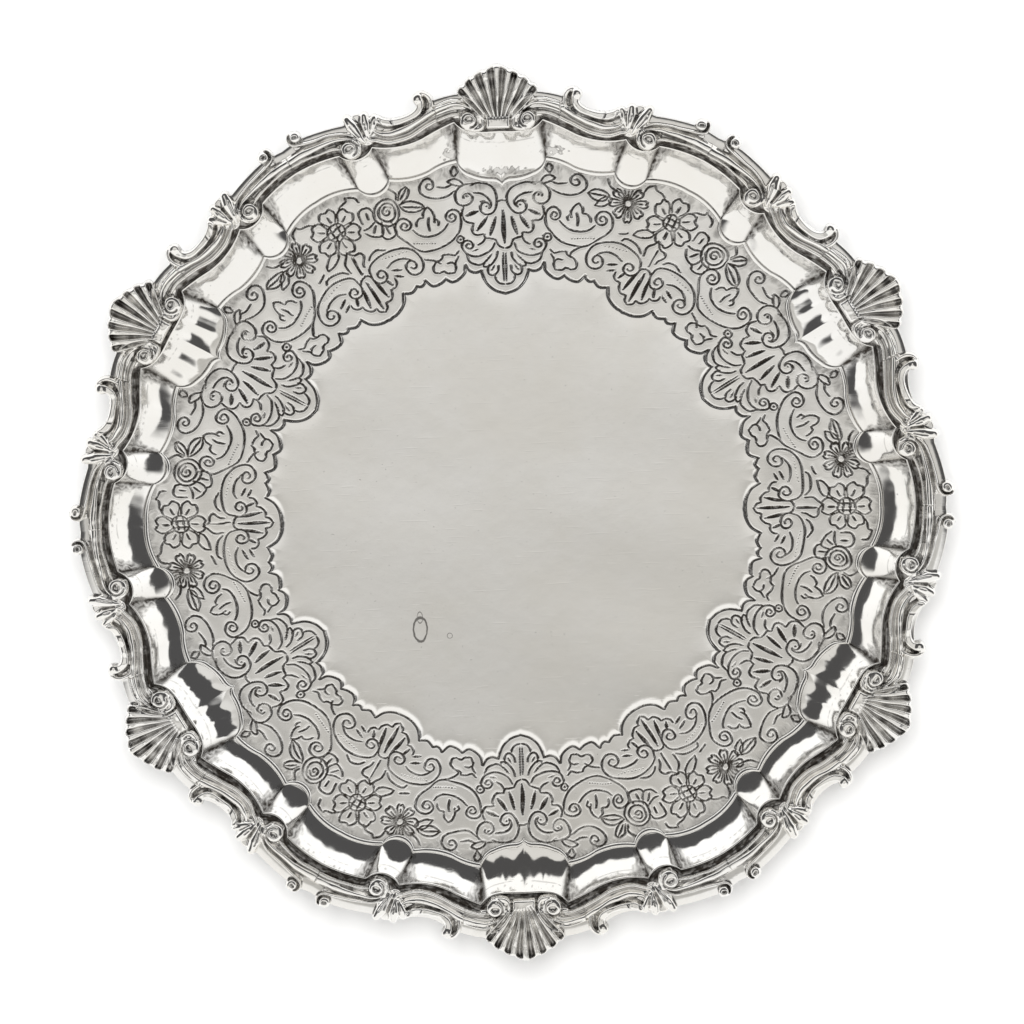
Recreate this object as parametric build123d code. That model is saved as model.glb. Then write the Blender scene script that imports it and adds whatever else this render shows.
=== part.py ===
"""A twelve-inch silver salver: one raised sheet, a cast border and three cast scroll feet.

Millimetres. +Z is up, the feet stand on z = 0 and the axis of the salver is the Z axis. The border
repeats six times. Sector 1 has its shell on the +Y axis and the sectors run clockwise from above.
Half a sector is drawn once, from the shell's axis to the middle of the C-scroll, 30 degrees on. Its
shell end is drawn in the shell frame, where x runs across the shell and y outwards. Its far end is
drawn in the scroll frame, which is the same frame turned until y runs out through the seam at the
middle of the C-scroll, so that x is negative on the shell's side of that seam.
"""
from build123d import *
import os
from math import cos, radians, sin, tan

SECTORS = 6
SECTOR_ANGLE = 360 / SECTORS
SEAM_ANGLE = 8.6            # from a shell's axis to the solder seam beside its volutes

FLOOR_TOP = 18.0            # height of the flat floor above the table
WELL_DEPTH = 10.0           # from the flange down to the floor
SHEET = 1.0                 # thickness of the sheet, measured upright
FLANGE_TOP = FLOOR_TOP + WELL_DEPTH

STRIP_RISE = 1.0            # hollow of the moulding above the flange
BEAD_RISE = 2.2             # the two beads that edge the moulding
HOOK_RISE = 2.6             # small scrolls on the outer side
EYE_RISE = 3.4              # eyes of the volutes
EYE_PIT = 0.9
SHELL_RISE = 3.2
FLUTE_DEPTH = 1.6
PAD_RISE = 2.0              # small level pad at the root of a shell

FOOT_COUNT = 3
FOOT_HEIGHT = FLOOR_TOP - SHEET
FOOT_RADIUS = 106.0         # from the axis to the middle of a foot
FOOT_KNEE_WIDTH = 15.0
FOOT_TOE_WIDTH = 9.0


def turned(point, degrees):
    """The point turned clockwise about the axis, seen from above."""
    x, y = point
    turn = radians(degrees)
    return (x * cos(turn) + y * sin(turn), y * cos(turn) - x * sin(turn))


def scroll(x, y):
    """A point of the scroll frame, given in the shell frame."""
    return turned((x, y), SECTOR_ANGLE / 2)


def seam(out):
    """A point on the seam beside a shell, given in the shell frame by its distance outwards."""
    return (out * tan(radians(SEAM_ANGLE)), out)


# Half a sector of each outline: an end, then a point on the arc and its end, and so on.
WELL_FOOT = [
    (0, 113), (5.2, 115.4), (10.4, 116.7),
    (12.9, 119), (15.2, 121.2),
    (19.9, 120), (24.4, 117.7),
    (30.8, 115.7), scroll(-24.9, 119.1),
    scroll(-19.4, 116.9), scroll(-14.2, 121.7),
    scroll(-7.5, 124.5), scroll(0, 125.2),
]
WELL_TOP = [
    (0, 131.6), (4.7, 131.5), (9.3, 131.8),
    (12.6, 133.0), (15.0, 135.2),
    (20.0, 133.0), (25.5, 130.1),
    (33.0, 127.6), scroll(-26.5, 132.0),
    scroll(-21.3, 130.7), scroll(-15.4, 135.3),
    scroll(-8.0, 137.2), scroll(0, 138.0),
]
FLANGE_EDGE = [
    (0, 151.4), (7.0, 149.0), (12.8, 144.9),
    (17.8, 144.1), (22.3, 142.8),
    (26.0, 141.8), (28.0, 139.9),
    (33.3, 137.3), scroll(-33.3, 138.9),
    scroll(-28.6, 142.0), scroll(-22.0, 143.5),
    scroll(-15.0, 145.7), scroll(-8.8, 147.1),
    scroll(-4.4, 147.2), scroll(0, 146.9),
]


def arcs(points):
    """Arcs end to end through a list of ends and points between them."""
    return [ThreePointArc(*points[i:i + 3]) for i in range(0, len(points) - 2, 2)]


def straights(*points):
    """Straight edges from point to point."""
    return [Line(a, b) for a, b in zip(points, points[1:])]


def ring(half):
    """The whole outline round the salver, from half a sector of it."""
    around = []
    for sector in range(SECTORS):
        start = sector * SECTOR_ANGLE
        around += [turned(point, start) for point in half][:-1]
        mirrored = [(-x, y) for x, y in reversed(half)]
        around += [turned(point, start + SECTOR_ANGLE) for point in mirrored][:-1]
    return Wire(arcs(around + around[:1]))


def well(drop):
    """The dished space over the sheet, as a solid, lowered by the given amount."""
    levels = []
    for outward in (0, 0.35, 0.7, 1):
        height = FLOOR_TOP + WELL_DEPTH * outward * (0.4 + 0.6 * outward) - drop
        half = [(a[0] + (b[0] - a[0]) * outward, a[1] + (b[1] - a[1]) * outward)
                for a, b in zip(WELL_FOOT, WELL_TOP)]
        levels.append(Pos(0, 0, height) * ring(half))
    return Solid.make_loft(levels, ruled=True)


def tray():
    """One sheet: the flat floor, the panelled bouge round it and the flat flange."""
    flange = extrude(Pos(0, 0, FLANGE_TOP - SHEET) * make_face(ring(FLANGE_EDGE)), SHEET)
    return (flange + well(SHEET)) - well(0)


def slab(edges, rise, start=FLANGE_TOP):
    """A closed outline raised from the flange."""
    return extrude(Pos(0, 0, start) * make_face(Wire(edges)), rise)


def band(inner, outer, rise):
    """A strip of the border between an inner and an outer line of arcs."""
    ends = straights(inner[-1], outer[-1]) + straights(outer[0], inner[0])
    return slab(arcs(inner) + arcs(outer) + ends, rise)


def eye(centre, radius):
    """A volute's domed eye, with the small pit at its middle."""
    x, y = centre
    boss = Pos(x, y, FLANGE_TOP + EYE_RISE / 2) * Cylinder(radius, EYE_RISE)
    boss = chamfer(boss.edges().group_by(Axis.Z)[-1], radius / 4)
    pit = Pos(x, y, FLANGE_TOP + EYE_RISE) * Cone(EYE_PIT / 4, EYE_PIT, EYE_PIT)
    return boss - pit


# Lines of the moulding between a shell's volute and the leaf junction, outwards from the bouge.
S_INNER_EDGE = [(13.6, 135.6), (16.4, 136.3), seam(134.8), (30.0, 129.6), scroll(-27.0, 133.3)]
S_INNER_BEAD = [(13.2, 137.6), (16.6, 137.6), seam(136.2), (30.6, 131.0), scroll(-27.3, 134.6)]
S_OUTER_BEAD = [(12.6, 141.0), (17.0, 140.8), seam(139.1), (30.6, 133.8), scroll(-28.2, 137.6)]
S_OUTER_EDGE = [(12.6, 142.9), (17.6, 142.3), seam(140.9), (30.4, 135.1), scroll(-29.0, 139.2)]

# The same four lines along the C-scroll, from its junction volute to the seam at its middle.
C_INNER_EDGE = [scroll(-17.0, 136.0), scroll(-8.6, 138.5), scroll(0, 139.3)]
C_INNER_BEAD = [scroll(-17.6, 137.1), scroll(-8.6, 139.7), scroll(0, 140.5)]
C_OUTER_BEAD = [scroll(-19.6, 139.0), scroll(-9.4, 141.9), scroll(0, 142.2)]
C_OUTER_EDGE = [scroll(-21.4, 140.4), scroll(-10.4, 143.2), scroll(0, 143.8)]


def cut_at_seam(line, keep_outer):
    """The part of an S line on one side of the seam beside the shell, as its own arcs."""
    seam_index = 2
    if keep_outer:
        return line[seam_index:]
    return line[:seam_index + 1]


def moulding(lines):
    """Two raised beads with a hollow between them, from their four lines."""
    inner_edge, inner_bead, outer_bead, outer_edge = lines
    strip = band(inner_edge, outer_edge, STRIP_RISE)
    return strip + band(inner_edge, inner_bead, BEAD_RISE) + band(outer_bead, outer_edge, BEAD_RISE)


S_LINES = [S_INNER_EDGE, S_INNER_BEAD, S_OUTER_BEAD, S_OUTER_EDGE]
C_LINES = [C_INNER_EDGE, C_INNER_BEAD, C_OUTER_BEAD, C_OUTER_EDGE]

SHELL_VOLUTE = (9.2, 135.2)
SHELL_VOLUTE_RADIUS = 2.5
JUNCTION_VOLUTE = scroll(-20.0, 134.9)
JUNCTION_VOLUTE_RADIUS = 2.7
OUTER_VOLUTE = scroll(-6.4, 147.4)
OUTER_VOLUTE_RADIUS = 2.4
HOOK_BALL = (26.4, 142.7)
HOOK_BALL_RADIUS = 1.9

SHELL_ROOT = (0, 131.0)     # the point that the flutes spread from
SHELL_LOBES = [
    (0, 153.5), (1.3, 153.5), (2.5, 152.9),
    (4.1, 152.6), (5.3, 151.4),
    (7.0, 150.9), (8.1, 149.5),
    (9.8, 148.6), (10.9, 147.2),
    (12.7, 146.2), (13.4, 144.2),
]
FLUTE_ANGLES = [5.9, 17.5, 29.0, 40.0]    # of the flutes' middles, from the shell's axis
FLUTE_REACH = [20.6, 19.6, 18.6, 17.2]
FLUTE_START = 4.6
FLUTE_HALF_ANGLE = 3.4


def flute(angle, reach):
    """The hollow of one flute, a wedge that widens towards the shell's edge."""
    spread = radians(FLUTE_HALF_ANGLE)
    near_half = FLUTE_START * sin(spread)
    far_half = reach * sin(spread)
    outline = [Line((-near_half, FLUTE_START), (-far_half, reach)),
               ThreePointArc((-far_half, reach), (0, reach + far_half), (far_half, reach)),
               Line((far_half, reach), (near_half, FLUTE_START)),
               Line((near_half, FLUTE_START), (-near_half, FLUTE_START))]
    hollow = extrude(make_face(Wire(outline)), FLUTE_DEPTH)
    x, y = SHELL_ROOT
    return Pos(x, y, FLANGE_TOP + SHELL_RISE - FLUTE_DEPTH) * Rot(0, 0, -angle) * hollow


def shell_volute_coil():
    """The strand that rolls round from the moulding's outer bead to the volute's foot."""
    outer = [(12.6, 142.9), (5.0, 139.4), (5.2, 134.2), (8.6, 132.3), (12.6, 133.5)]
    inner = [(12.6, 141.0), (6.9, 138.4), (6.9, 134.9), (9.2, 133.6), (11.6, 134.9)]
    return band(inner, outer, BEAD_RISE)


def half_shell():
    """Half of a shell casting: fluted fan, volute and the moulding as far as the seam."""
    fan = slab(arcs(SHELL_LOBES) + straights((13.4, 144.2), (12.6, 142.0), (4.4, 137.2), (3.4, 134.8),
                                             (0, 134.8), (0, 153.5)), SHELL_RISE)
    for angle, reach in zip(FLUTE_ANGLES, FLUTE_REACH):
        fan -= flute(angle, reach)
    pad = slab(straights((0, 133.2), (3.6, 133.2), (5.6, 134.4), (5.6, 136.0), (0, 136.0), (0, 133.2)),
               PAD_RISE)
    back = slab(straights((0, 134.0), (8.0, 133.2), (13.6, 135.6), (12.6, 142.9), (6.0, 141.0),
                          (0, 141.0), (0, 134.0)), STRIP_RISE)
    half = fan + pad + back + shell_volute_coil()
    half += moulding([cut_at_seam(line, keep_outer=False) for line in S_LINES])
    return half + eye(SHELL_VOLUTE, SHELL_VOLUTE_RADIUS)


def shell_casting():
    """A scallop shell between its two volutes."""
    right = half_shell()
    return right + mirror(right, Plane.YZ)


def hook():
    """The small scroll that rises off the outer side of the S and ends in a ball."""
    outer = [(22.6, 140.2), (22.5, 143.0), (24.8, 144.4), (28.6, 142.6), (27.5, 140.2),
             (32.6, 137.4), scroll(-32.8, 139.0)]
    inner = [(24.0, 139.4), (24.1, 141.8), (25.6, 143.2), (26.4, 141.6), (25.6, 138.6),
             (31.4, 134.9), scroll(-30.4, 138.4)]
    x, y = HOOK_BALL
    ball = Pos(x, y, FLANGE_TOP + HOOK_RISE / 2) * Cylinder(HOOK_BALL_RADIUS, HOOK_RISE)
    return band(inner, outer, HOOK_RISE) + ball


def leaf(root, tip, half_width):
    """One pointed leaf of the junction, from its root to its tip."""
    along = Vector(*tip) - Vector(*root)
    side = Vector(-along.Y, along.X).normalized() * half_width
    middle = Vector(*root) + along * 0.55
    return slab([ThreePointArc(root, middle + side, tip), ThreePointArc(tip, middle - side, root)], HOOK_RISE)


LEAF_ROOT = scroll(-26.2, 134.2)
LEAF_TIPS = [scroll(-34.0, 139.6), scroll(-30.2, 142.8), scroll(-25.6, 145.2), scroll(-22.2, 144.0)]
LEAF_HALF_WIDTH = 1.5


def leaf_junction():
    """The fan of leaves that covers the meeting of the S and the C."""
    back = slab(straights(scroll(-27.2, 133.0), scroll(-33.2, 138.9), scroll(-29.6, 142.0),
                          scroll(-25.6, 143.8), scroll(-22.2, 143.0), scroll(-22.6, 134.0),
                          scroll(-27.2, 133.0)), STRIP_RISE)
    for tip in LEAF_TIPS:
        back += leaf(LEAF_ROOT, tip, LEAF_HALF_WIDTH)
    return back


def junction_volute():
    """The volute that starts the C-scroll: a coiled strand round its eye."""
    outer = [scroll(-20.6, 140.5), scroll(-24.6, 134.6), scroll(-21.0, 131.5), scroll(-17.6, 132.6),
             scroll(-16.4, 136.5)]
    inner = [scroll(-19.2, 139.4), scroll(-22.9, 135.4), scroll(-20.9, 132.8), scroll(-18.6, 133.4),
             scroll(-16.9, 137.0)]
    floor = slab(straights(*outer, outer[0]), STRIP_RISE)
    return floor + band(inner, outer, BEAD_RISE) + eye(JUNCTION_VOLUTE, JUNCTION_VOLUTE_RADIUS)


def outer_volute():
    """The strand that leaves the outer side of the C and coils up on the flange's edge."""
    outer = [scroll(-22.4, 139.8), scroll(-15.0, 143.6), scroll(-8.0, 145.0),
             scroll(-4.6, 145.7), scroll(-3.0, 148.4)]
    inner = [scroll(-21.6, 138.8), scroll(-14.6, 142.4), scroll(-7.6, 143.8),
             scroll(-3.2, 144.9), scroll(-1.9, 148.4)]
    return band(inner, outer, BEAD_RISE) + eye(OUTER_VOLUTE, OUTER_VOLUTE_RADIUS)


def scroll_casting():
    """The right-hand casting of a shell: S, hook, leaves, junction volute and half the C."""
    s_part = moulding([cut_at_seam(line, keep_outer=True) for line in S_LINES])
    casting = s_part + hook() + leaf_junction() + junction_volute() + moulding(C_LINES)
    return casting + outer_volute()


def scroll_foot():
    """A cast scroll foot, drawn from the side as y outwards and cut to its front outline."""
    top = FOOT_HEIGHT
    side = [(-9.0, top), (-6.5, 12.0), (-2.6, 9.0), (-1.0, 6.6), (-3.0, 4.0),
            (-4.2, 1.8), (-2.0, 0)]
    front = [(6.0, 0), (8.2, 2.6), (6.6, 5.6), (4.4, 8.0), (5.6, 11.0),
             (7.4, 13.6), (7.0, top)]
    outline = arcs(side) + [Line(side[-1], front[0])] + arcs(front) + [Line(front[-1], side[0])]
    body = extrude(Plane.YZ * make_face(Wire(outline)), FOOT_KNEE_WIDTH / 2, both=True)
    knee = FOOT_KNEE_WIDTH / 2
    toe = FOOT_TOE_WIDTH / 2
    face = [Line((-toe, 0), (toe, 0)), ThreePointArc((toe, 0), (toe * 0.8, top * 0.45), (knee, top)),
            Line((knee, top), (-knee, top)), ThreePointArc((-knee, top), (-toe * 0.8, top * 0.45), (-toe, 0))]
    reach = 20
    body &= extrude(Plane.XZ * make_face(Wire(face)), reach, both=True)
    return Pos(0, FOOT_RADIUS, 0) * body


def build():
    """Every separate piece of the salver by name."""
    pieces = {"tray": tray()}
    shell = shell_casting()
    right = scroll_casting()
    left = mirror(right, Plane.YZ)
    foot = scroll_foot()
    for number in range(1, SECTORS + 1):
        turn = Rot(0, 0, -SECTOR_ANGLE * (number - 1))
        pieces[f"shell_casting_{number}"] = turn * shell
        pieces[f"scroll_casting_{number}_right"] = turn * right
        pieces[f"scroll_casting_{number}_left"] = turn * left
    for number in range(1, FOOT_COUNT + 1):
        pieces[f"scroll_foot_{number}"] = Rot(0, 0, -360 / FOOT_COUNT * (number - 1)) * foot
    return pieces


os.makedirs("parts", exist_ok=True)
for name, piece in build().items():
    export_step(piece, f"parts/{name}.step")
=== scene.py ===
"""The looks of a twelve-inch silver salver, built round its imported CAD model.

Shapes are worked out in millimetres in the model's own frame and written to Blender in metres. The
border repeats six times. Sector 1 has its shell on the +Y axis and the sectors run clockwise from
above. A point is given in the shell frame, where x runs across the shell and y outwards from the
axis, or by middle(x, y) in the frame of the C-scroll's middle, half a sector further on.
"""
from math import atan2, cos, degrees, hypot, pi, radians, sin

import bpy
import numpy as np
from mathutils import Matrix, Vector


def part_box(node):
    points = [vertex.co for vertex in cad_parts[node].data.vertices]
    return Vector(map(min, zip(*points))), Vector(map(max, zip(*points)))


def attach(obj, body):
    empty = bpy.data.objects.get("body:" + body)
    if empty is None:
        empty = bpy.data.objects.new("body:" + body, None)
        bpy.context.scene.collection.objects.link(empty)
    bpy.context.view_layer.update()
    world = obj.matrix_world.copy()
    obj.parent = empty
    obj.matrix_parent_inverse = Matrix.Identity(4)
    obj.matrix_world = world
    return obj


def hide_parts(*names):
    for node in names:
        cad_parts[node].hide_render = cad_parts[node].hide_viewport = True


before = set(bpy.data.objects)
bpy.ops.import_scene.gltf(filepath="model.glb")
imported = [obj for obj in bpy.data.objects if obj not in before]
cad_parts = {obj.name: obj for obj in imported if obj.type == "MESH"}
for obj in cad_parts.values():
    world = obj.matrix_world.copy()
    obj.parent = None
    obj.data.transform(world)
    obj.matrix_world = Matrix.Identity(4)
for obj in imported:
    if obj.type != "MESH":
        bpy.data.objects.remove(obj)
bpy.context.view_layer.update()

MM = 0.001
SECTORS = 6
SECTOR_ANGLE = 360 / SECTORS
SEAM_ANGLE = 8.6             # from a shell's axis to the solder seam beside its volutes

SHEET = 1.0
FLANGE_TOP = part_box("tray")[1].z / MM
FLOOR_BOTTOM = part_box("tray")[0].z / MM
FLOOR_TOP = FLOOR_BOTTOM + SHEET
WELL_DEPTH = FLANGE_TOP - FLOOR_TOP
BORDER_SHIFT = (-0.36, 0.89) # of the lip and the border, across and out from the tray's centre
BORDER_SCALE = 0.997


# ---------------------------------------------------------------- points, lines and distances

def turned(points, angle):
    """Points turned clockwise about the axis, seen from above."""
    points = np.asarray(points, float)
    turn = radians(angle)
    x, y = points[..., 0], points[..., 1]
    return np.stack([x * cos(turn) + y * sin(turn), y * cos(turn) - x * sin(turn)], axis=-1)


def middle(x, y):
    """A point of the C-scroll's middle frame, given in the shell frame."""
    return tuple(turned((x, y), SECTOR_ANGLE / 2))


def middles(*points):
    """Several points of the middle frame, given in the shell frame."""
    return [middle(x, y) for x, y in points]


def flipped(points):
    """Points mirrored across the shell's axis."""
    return [(-x, y) for x, y in points]


def smooth_line(points, steps=7):
    """A Catmull-Rom line through the points."""
    points = np.asarray(points, float)
    if len(points) < 3:
        return points
    padded = np.vstack([2 * points[0] - points[1], points, 2 * points[-1] - points[-2]])
    part = np.linspace(0, 1, steps, endpoint=False)[:, None]
    pieces = []
    for a, b, c, d in zip(padded, padded[1:], padded[2:], padded[3:]):
        pieces.append(0.5 * (2 * b + (c - a) * part + (2 * a - 5 * b + 4 * c - d) * part ** 2
                             + (3 * b - a - 3 * c + d) * part ** 3))
    return np.vstack(pieces + [points[-1:]])


def closed_line(points, steps=6):
    """A smooth closed line through the points."""
    line = smooth_line(list(points[-2:]) + list(points) + list(points[:3]), steps)
    return line[2 * steps:(len(points) + 2) * steps + 1]


def curl(points, centre, turns, end_radius=0.8):
    """The points with a spiral added, which winds in from the last of them about the centre."""
    start = np.asarray(points[-1], float) - centre
    radius, bearing = np.hypot(*start), atan2(start[1], start[0])
    count = max(3, round(abs(turns) * 9))
    wound = []
    for number in range(1, count + 1):
        share = number / count
        reach = radius * (end_radius / radius) ** share
        angle = bearing + share * turns * 2 * pi
        wound.append((centre[0] + reach * cos(angle), centre[1] + reach * sin(angle)))
    return list(points) + wound


def nearest(points, line):
    """Each point's distance to a line of straight segments, and how far along it that is, 0 to 1."""
    line = np.asarray(line, float)
    lengths = np.hypot(*(line[1:] - line[:-1]).T)
    passed = np.concatenate([[0], np.cumsum(lengths)])
    best = np.full(len(points), 1e9)
    along = np.zeros(len(points))
    for number, (a, b) in enumerate(zip(line, line[1:])):
        span = b - a
        offset = points - a
        share = np.clip(offset @ span / max(span @ span, 1e-12), 0, 1)
        gap = offset - share[:, None] * span
        distance = np.sqrt(gap[:, 0] ** 2 + gap[:, 1] ** 2)
        closer = distance < best
        best[closer] = distance[closer]
        along[closer] = (passed[number] + share[closer] * lengths[number]) / passed[-1]
    return best, along


def enclosed(points, line):
    """Whether each point is inside a closed line."""
    x, y = points.T
    inside = np.zeros(len(points), bool)
    for (x0, y0), (x1, y1) in zip(line, line[1:]):
        if y0 != y1:
            inside ^= ((y0 > y) != (y1 > y)) & (x < x0 + (y - y0) * (x1 - x0) / (y1 - y0))
    return inside


def window(points, line, margin):
    """The indices of the points within the margin of the line's own box."""
    low, high = np.min(line, axis=0) - margin, np.max(line, axis=0) + margin
    return np.flatnonzero(np.all((points >= low) & (points <= high), axis=1))


def eased(value, low, high):
    """0 below low, 1 above high, and a smooth step between."""
    share = np.clip((np.asarray(value, float) - low) / (high - low), 0, 1)
    return share * share * (3 - 2 * share)


class Waves:
    """A smooth wandering value over the plane, made of a few seeded sine waves."""

    def __init__(self, seed, length, count=7):
        random = np.random.default_rng(seed)
        heading = random.uniform(0, 2 * pi, count)
        pace = 2 * pi / (length * random.uniform(0.7, 1.5, count))
        self.waves = np.stack([np.cos(heading) * pace, np.sin(heading) * pace])
        self.phases = random.uniform(0, 2 * pi, count)

    def at(self, points):
        """The value at each point, mostly between -1 and 1."""
        return np.sin(points @ self.waves + self.phases).sum(axis=1) / np.sqrt(len(self.phases))


def settled(points):
    """Points of the lip or the border as drawn, scaled and moved to where they sit on the tray."""
    return points * BORDER_SCALE + BORDER_SHIFT


# ---------------------------------------------------------------- meshes

def make_piece(name, points, face_groups, material, values=None):
    """A smooth-shaded object from points in millimetres and arrays of equal-sided faces."""
    mesh = bpy.data.meshes.new(name)
    mesh.vertices.add(len(points))
    mesh.vertices.foreach_set("co", (np.asarray(points) * MM).astype(np.float32).ravel())
    corners = np.concatenate([group.ravel() for group in face_groups]).astype(np.int32)
    sizes = np.concatenate([np.full(len(group), group.shape[1]) for group in face_groups])
    mesh.loops.add(len(corners))
    mesh.loops.foreach_set("vertex_index", corners)
    mesh.polygons.add(len(sizes))
    mesh.polygons.foreach_set("loop_start", np.concatenate([[0], np.cumsum(sizes)[:-1]]).astype(np.int32))
    mesh.update(calc_edges=True)
    mesh.validate()
    mesh.shade_smooth()
    for title, numbers in (values or {}).items():
        attribute = mesh.attributes.new(title, "FLOAT", "POINT")
        attribute.data.foreach_set("value", np.asarray(numbers, np.float32))
    mesh.materials.append(material)
    piece = bpy.data.objects.new(name, mesh)
    bpy.context.scene.collection.objects.link(piece)
    return piece


def blurred(grid, reach):
    """A grid of heights, blurred by a Gaussian whose reach is given in cells."""
    half = int(np.ceil(reach * 3))
    weights = np.exp(-0.5 * (np.arange(-half, half + 1) / reach) ** 2)
    weights /= weights.sum()
    for axis in (0, 1):
        padded = np.pad(grid, [(half, half) if a == axis else (0, 0) for a in (0, 1)], mode="edge")
        size = grid.shape[axis]
        grid = sum(w * np.take(padded, range(i, i + size), axis) for i, w in enumerate(weights))
    return grid


# ---------------------------------------------------------------- outlines of the tray

# Half a sector of each outline: an end, then a point on the arc and its end, and so on.
WELL_FOOT = [
    (0, 112.9), (1.3, 114.1), (3.2, 114.6),
    (7.2, 115.1), (10.6, 116.3),
    (13.7, 118.3), (15.2, 121.2),
    (19.9, 120), (24.4, 117.7),
    (30.8, 115.7), middle(-24.9, 119.1),
    middle(-19.4, 116.9), middle(-14.2, 121.7),
    middle(-7.5, 124.5), middle(0, 125.2),
]
WELL_TOP = [
    (0, 131.6), (1.6, 131.55), (3.2, 131.5),
    (6.2, 131.5), (9.3, 131.8),
    (12.6, 133.0), (15.0, 135.2),
    (20.0, 133.0), (25.5, 130.1),
    (33.0, 127.6), middle(-26.5, 132.0),
    middle(-21.3, 130.7), middle(-15.4, 135.3),
    middle(-8.0, 137.2), middle(0, 138.0),
]
FLANGE_EDGE = [
    (0, 151.4), (7.0, 149.0), (12.8, 144.9),
    (17.8, 144.1), (22.3, 142.8),
    (26.0, 141.8), (28.0, 139.9),
    (33.3, 137.3), middle(-33.3, 138.9),
    middle(-28.6, 142.0), middle(-22.0, 143.5),
    middle(-15.0, 145.7), middle(-8.8, 147.1),
    middle(-4.4, 147.2), middle(0, 146.9),
]
HALF_COLUMNS = 200
COLUMNS = 2 * HALF_COLUMNS * SECTORS


def bearing_of(point):
    """A point's angle clockwise from the +Y axis, in degrees."""
    return degrees(atan2(point[0], point[1]))


def arc_points(start, via, end, shares):
    """Points of the arc through three points, at the given shares of its length."""
    start, via, end = (np.asarray(p, float) for p in (start, via, end))
    chord, leg = end - start, via - start
    cross = chord[0] * leg[1] - chord[1] * leg[0]
    if abs(cross) < 1e-6:
        return start + shares[:, None] * chord
    across = np.array([-chord[1], chord[0]])
    centre = start + chord / 2 + across * (leg @ leg - leg @ chord) / (2 * (leg @ across))
    first = atan2(*(start - centre)[::-1])
    sweep = atan2(*(end - centre)[::-1]) - first
    middle_sweep = atan2(*(via - centre)[::-1]) - first
    sweep, middle_sweep = sweep % (2 * pi), middle_sweep % (2 * pi)
    if middle_sweep > sweep:
        sweep -= 2 * pi
    angles = first + shares * sweep
    return centre + np.hypot(*(start - centre)) * np.stack([np.cos(angles), np.sin(angles)], axis=1)


def half_outline(half, counts):
    """Points along half an outline, with the given count of steps on each arc."""
    found = [arc_points(*half[2 * i:2 * i + 3], np.arange(count) / count) for i, count in enumerate(counts)]
    return np.vstack(found + [np.asarray(half[-1], float)[None]])


def whole_outline(half_points):
    """Every column's point round the salver, from the columns of half a sector."""
    mirrored = half_points[::-1] * (-1, 1)
    around = []
    for sector in range(SECTORS):
        around.append(turned(half_points[:-1], sector * SECTOR_ANGLE))
        around.append(turned(mirrored[:-1], (sector + 1) * SECTOR_ANGLE))
    return np.vstack(around)


def column_counts():
    """How many columns each arc of the well's foot takes, by the angle that it spans."""
    ends = [bearing_of(point) for point in WELL_FOOT[::2]]
    marks = [round(HALF_COLUMNS * end / (SECTOR_ANGLE / 2)) for end in ends]
    return [b - a for a, b in zip(marks, marks[1:])]


def edge_at(bearings):
    """The flange's edge on each bearing of half a sector."""
    fine = half_outline(FLANGE_EDGE, [40] * (len(FLANGE_EDGE) // 2))
    fine_bearings = np.degrees(np.arctan2(fine[:, 0], fine[:, 1]))
    reach = np.interp(bearings, fine_bearings, np.hypot(fine[:, 0], fine[:, 1]))
    return np.stack([reach * np.sin(np.radians(bearings)), reach * np.cos(np.radians(bearings))], axis=1)


# ---------------------------------------------------------------- chased band

CHASED_SCALE = 0.9945        # of the pattern as it is drawn below
LINE_HALF_WIDTH = 0.42
LINE_DEPTH = 0.2
SCALLOP_HALF_WIDTH = 0.5
SCALLOP_DEPTH = 0.26
PLATEAU_DROP = 0.34          # the floor's centre stands above the chased band by this much
PLATEAU_FALL = 1.5           # reach of its rounded edge

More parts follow.
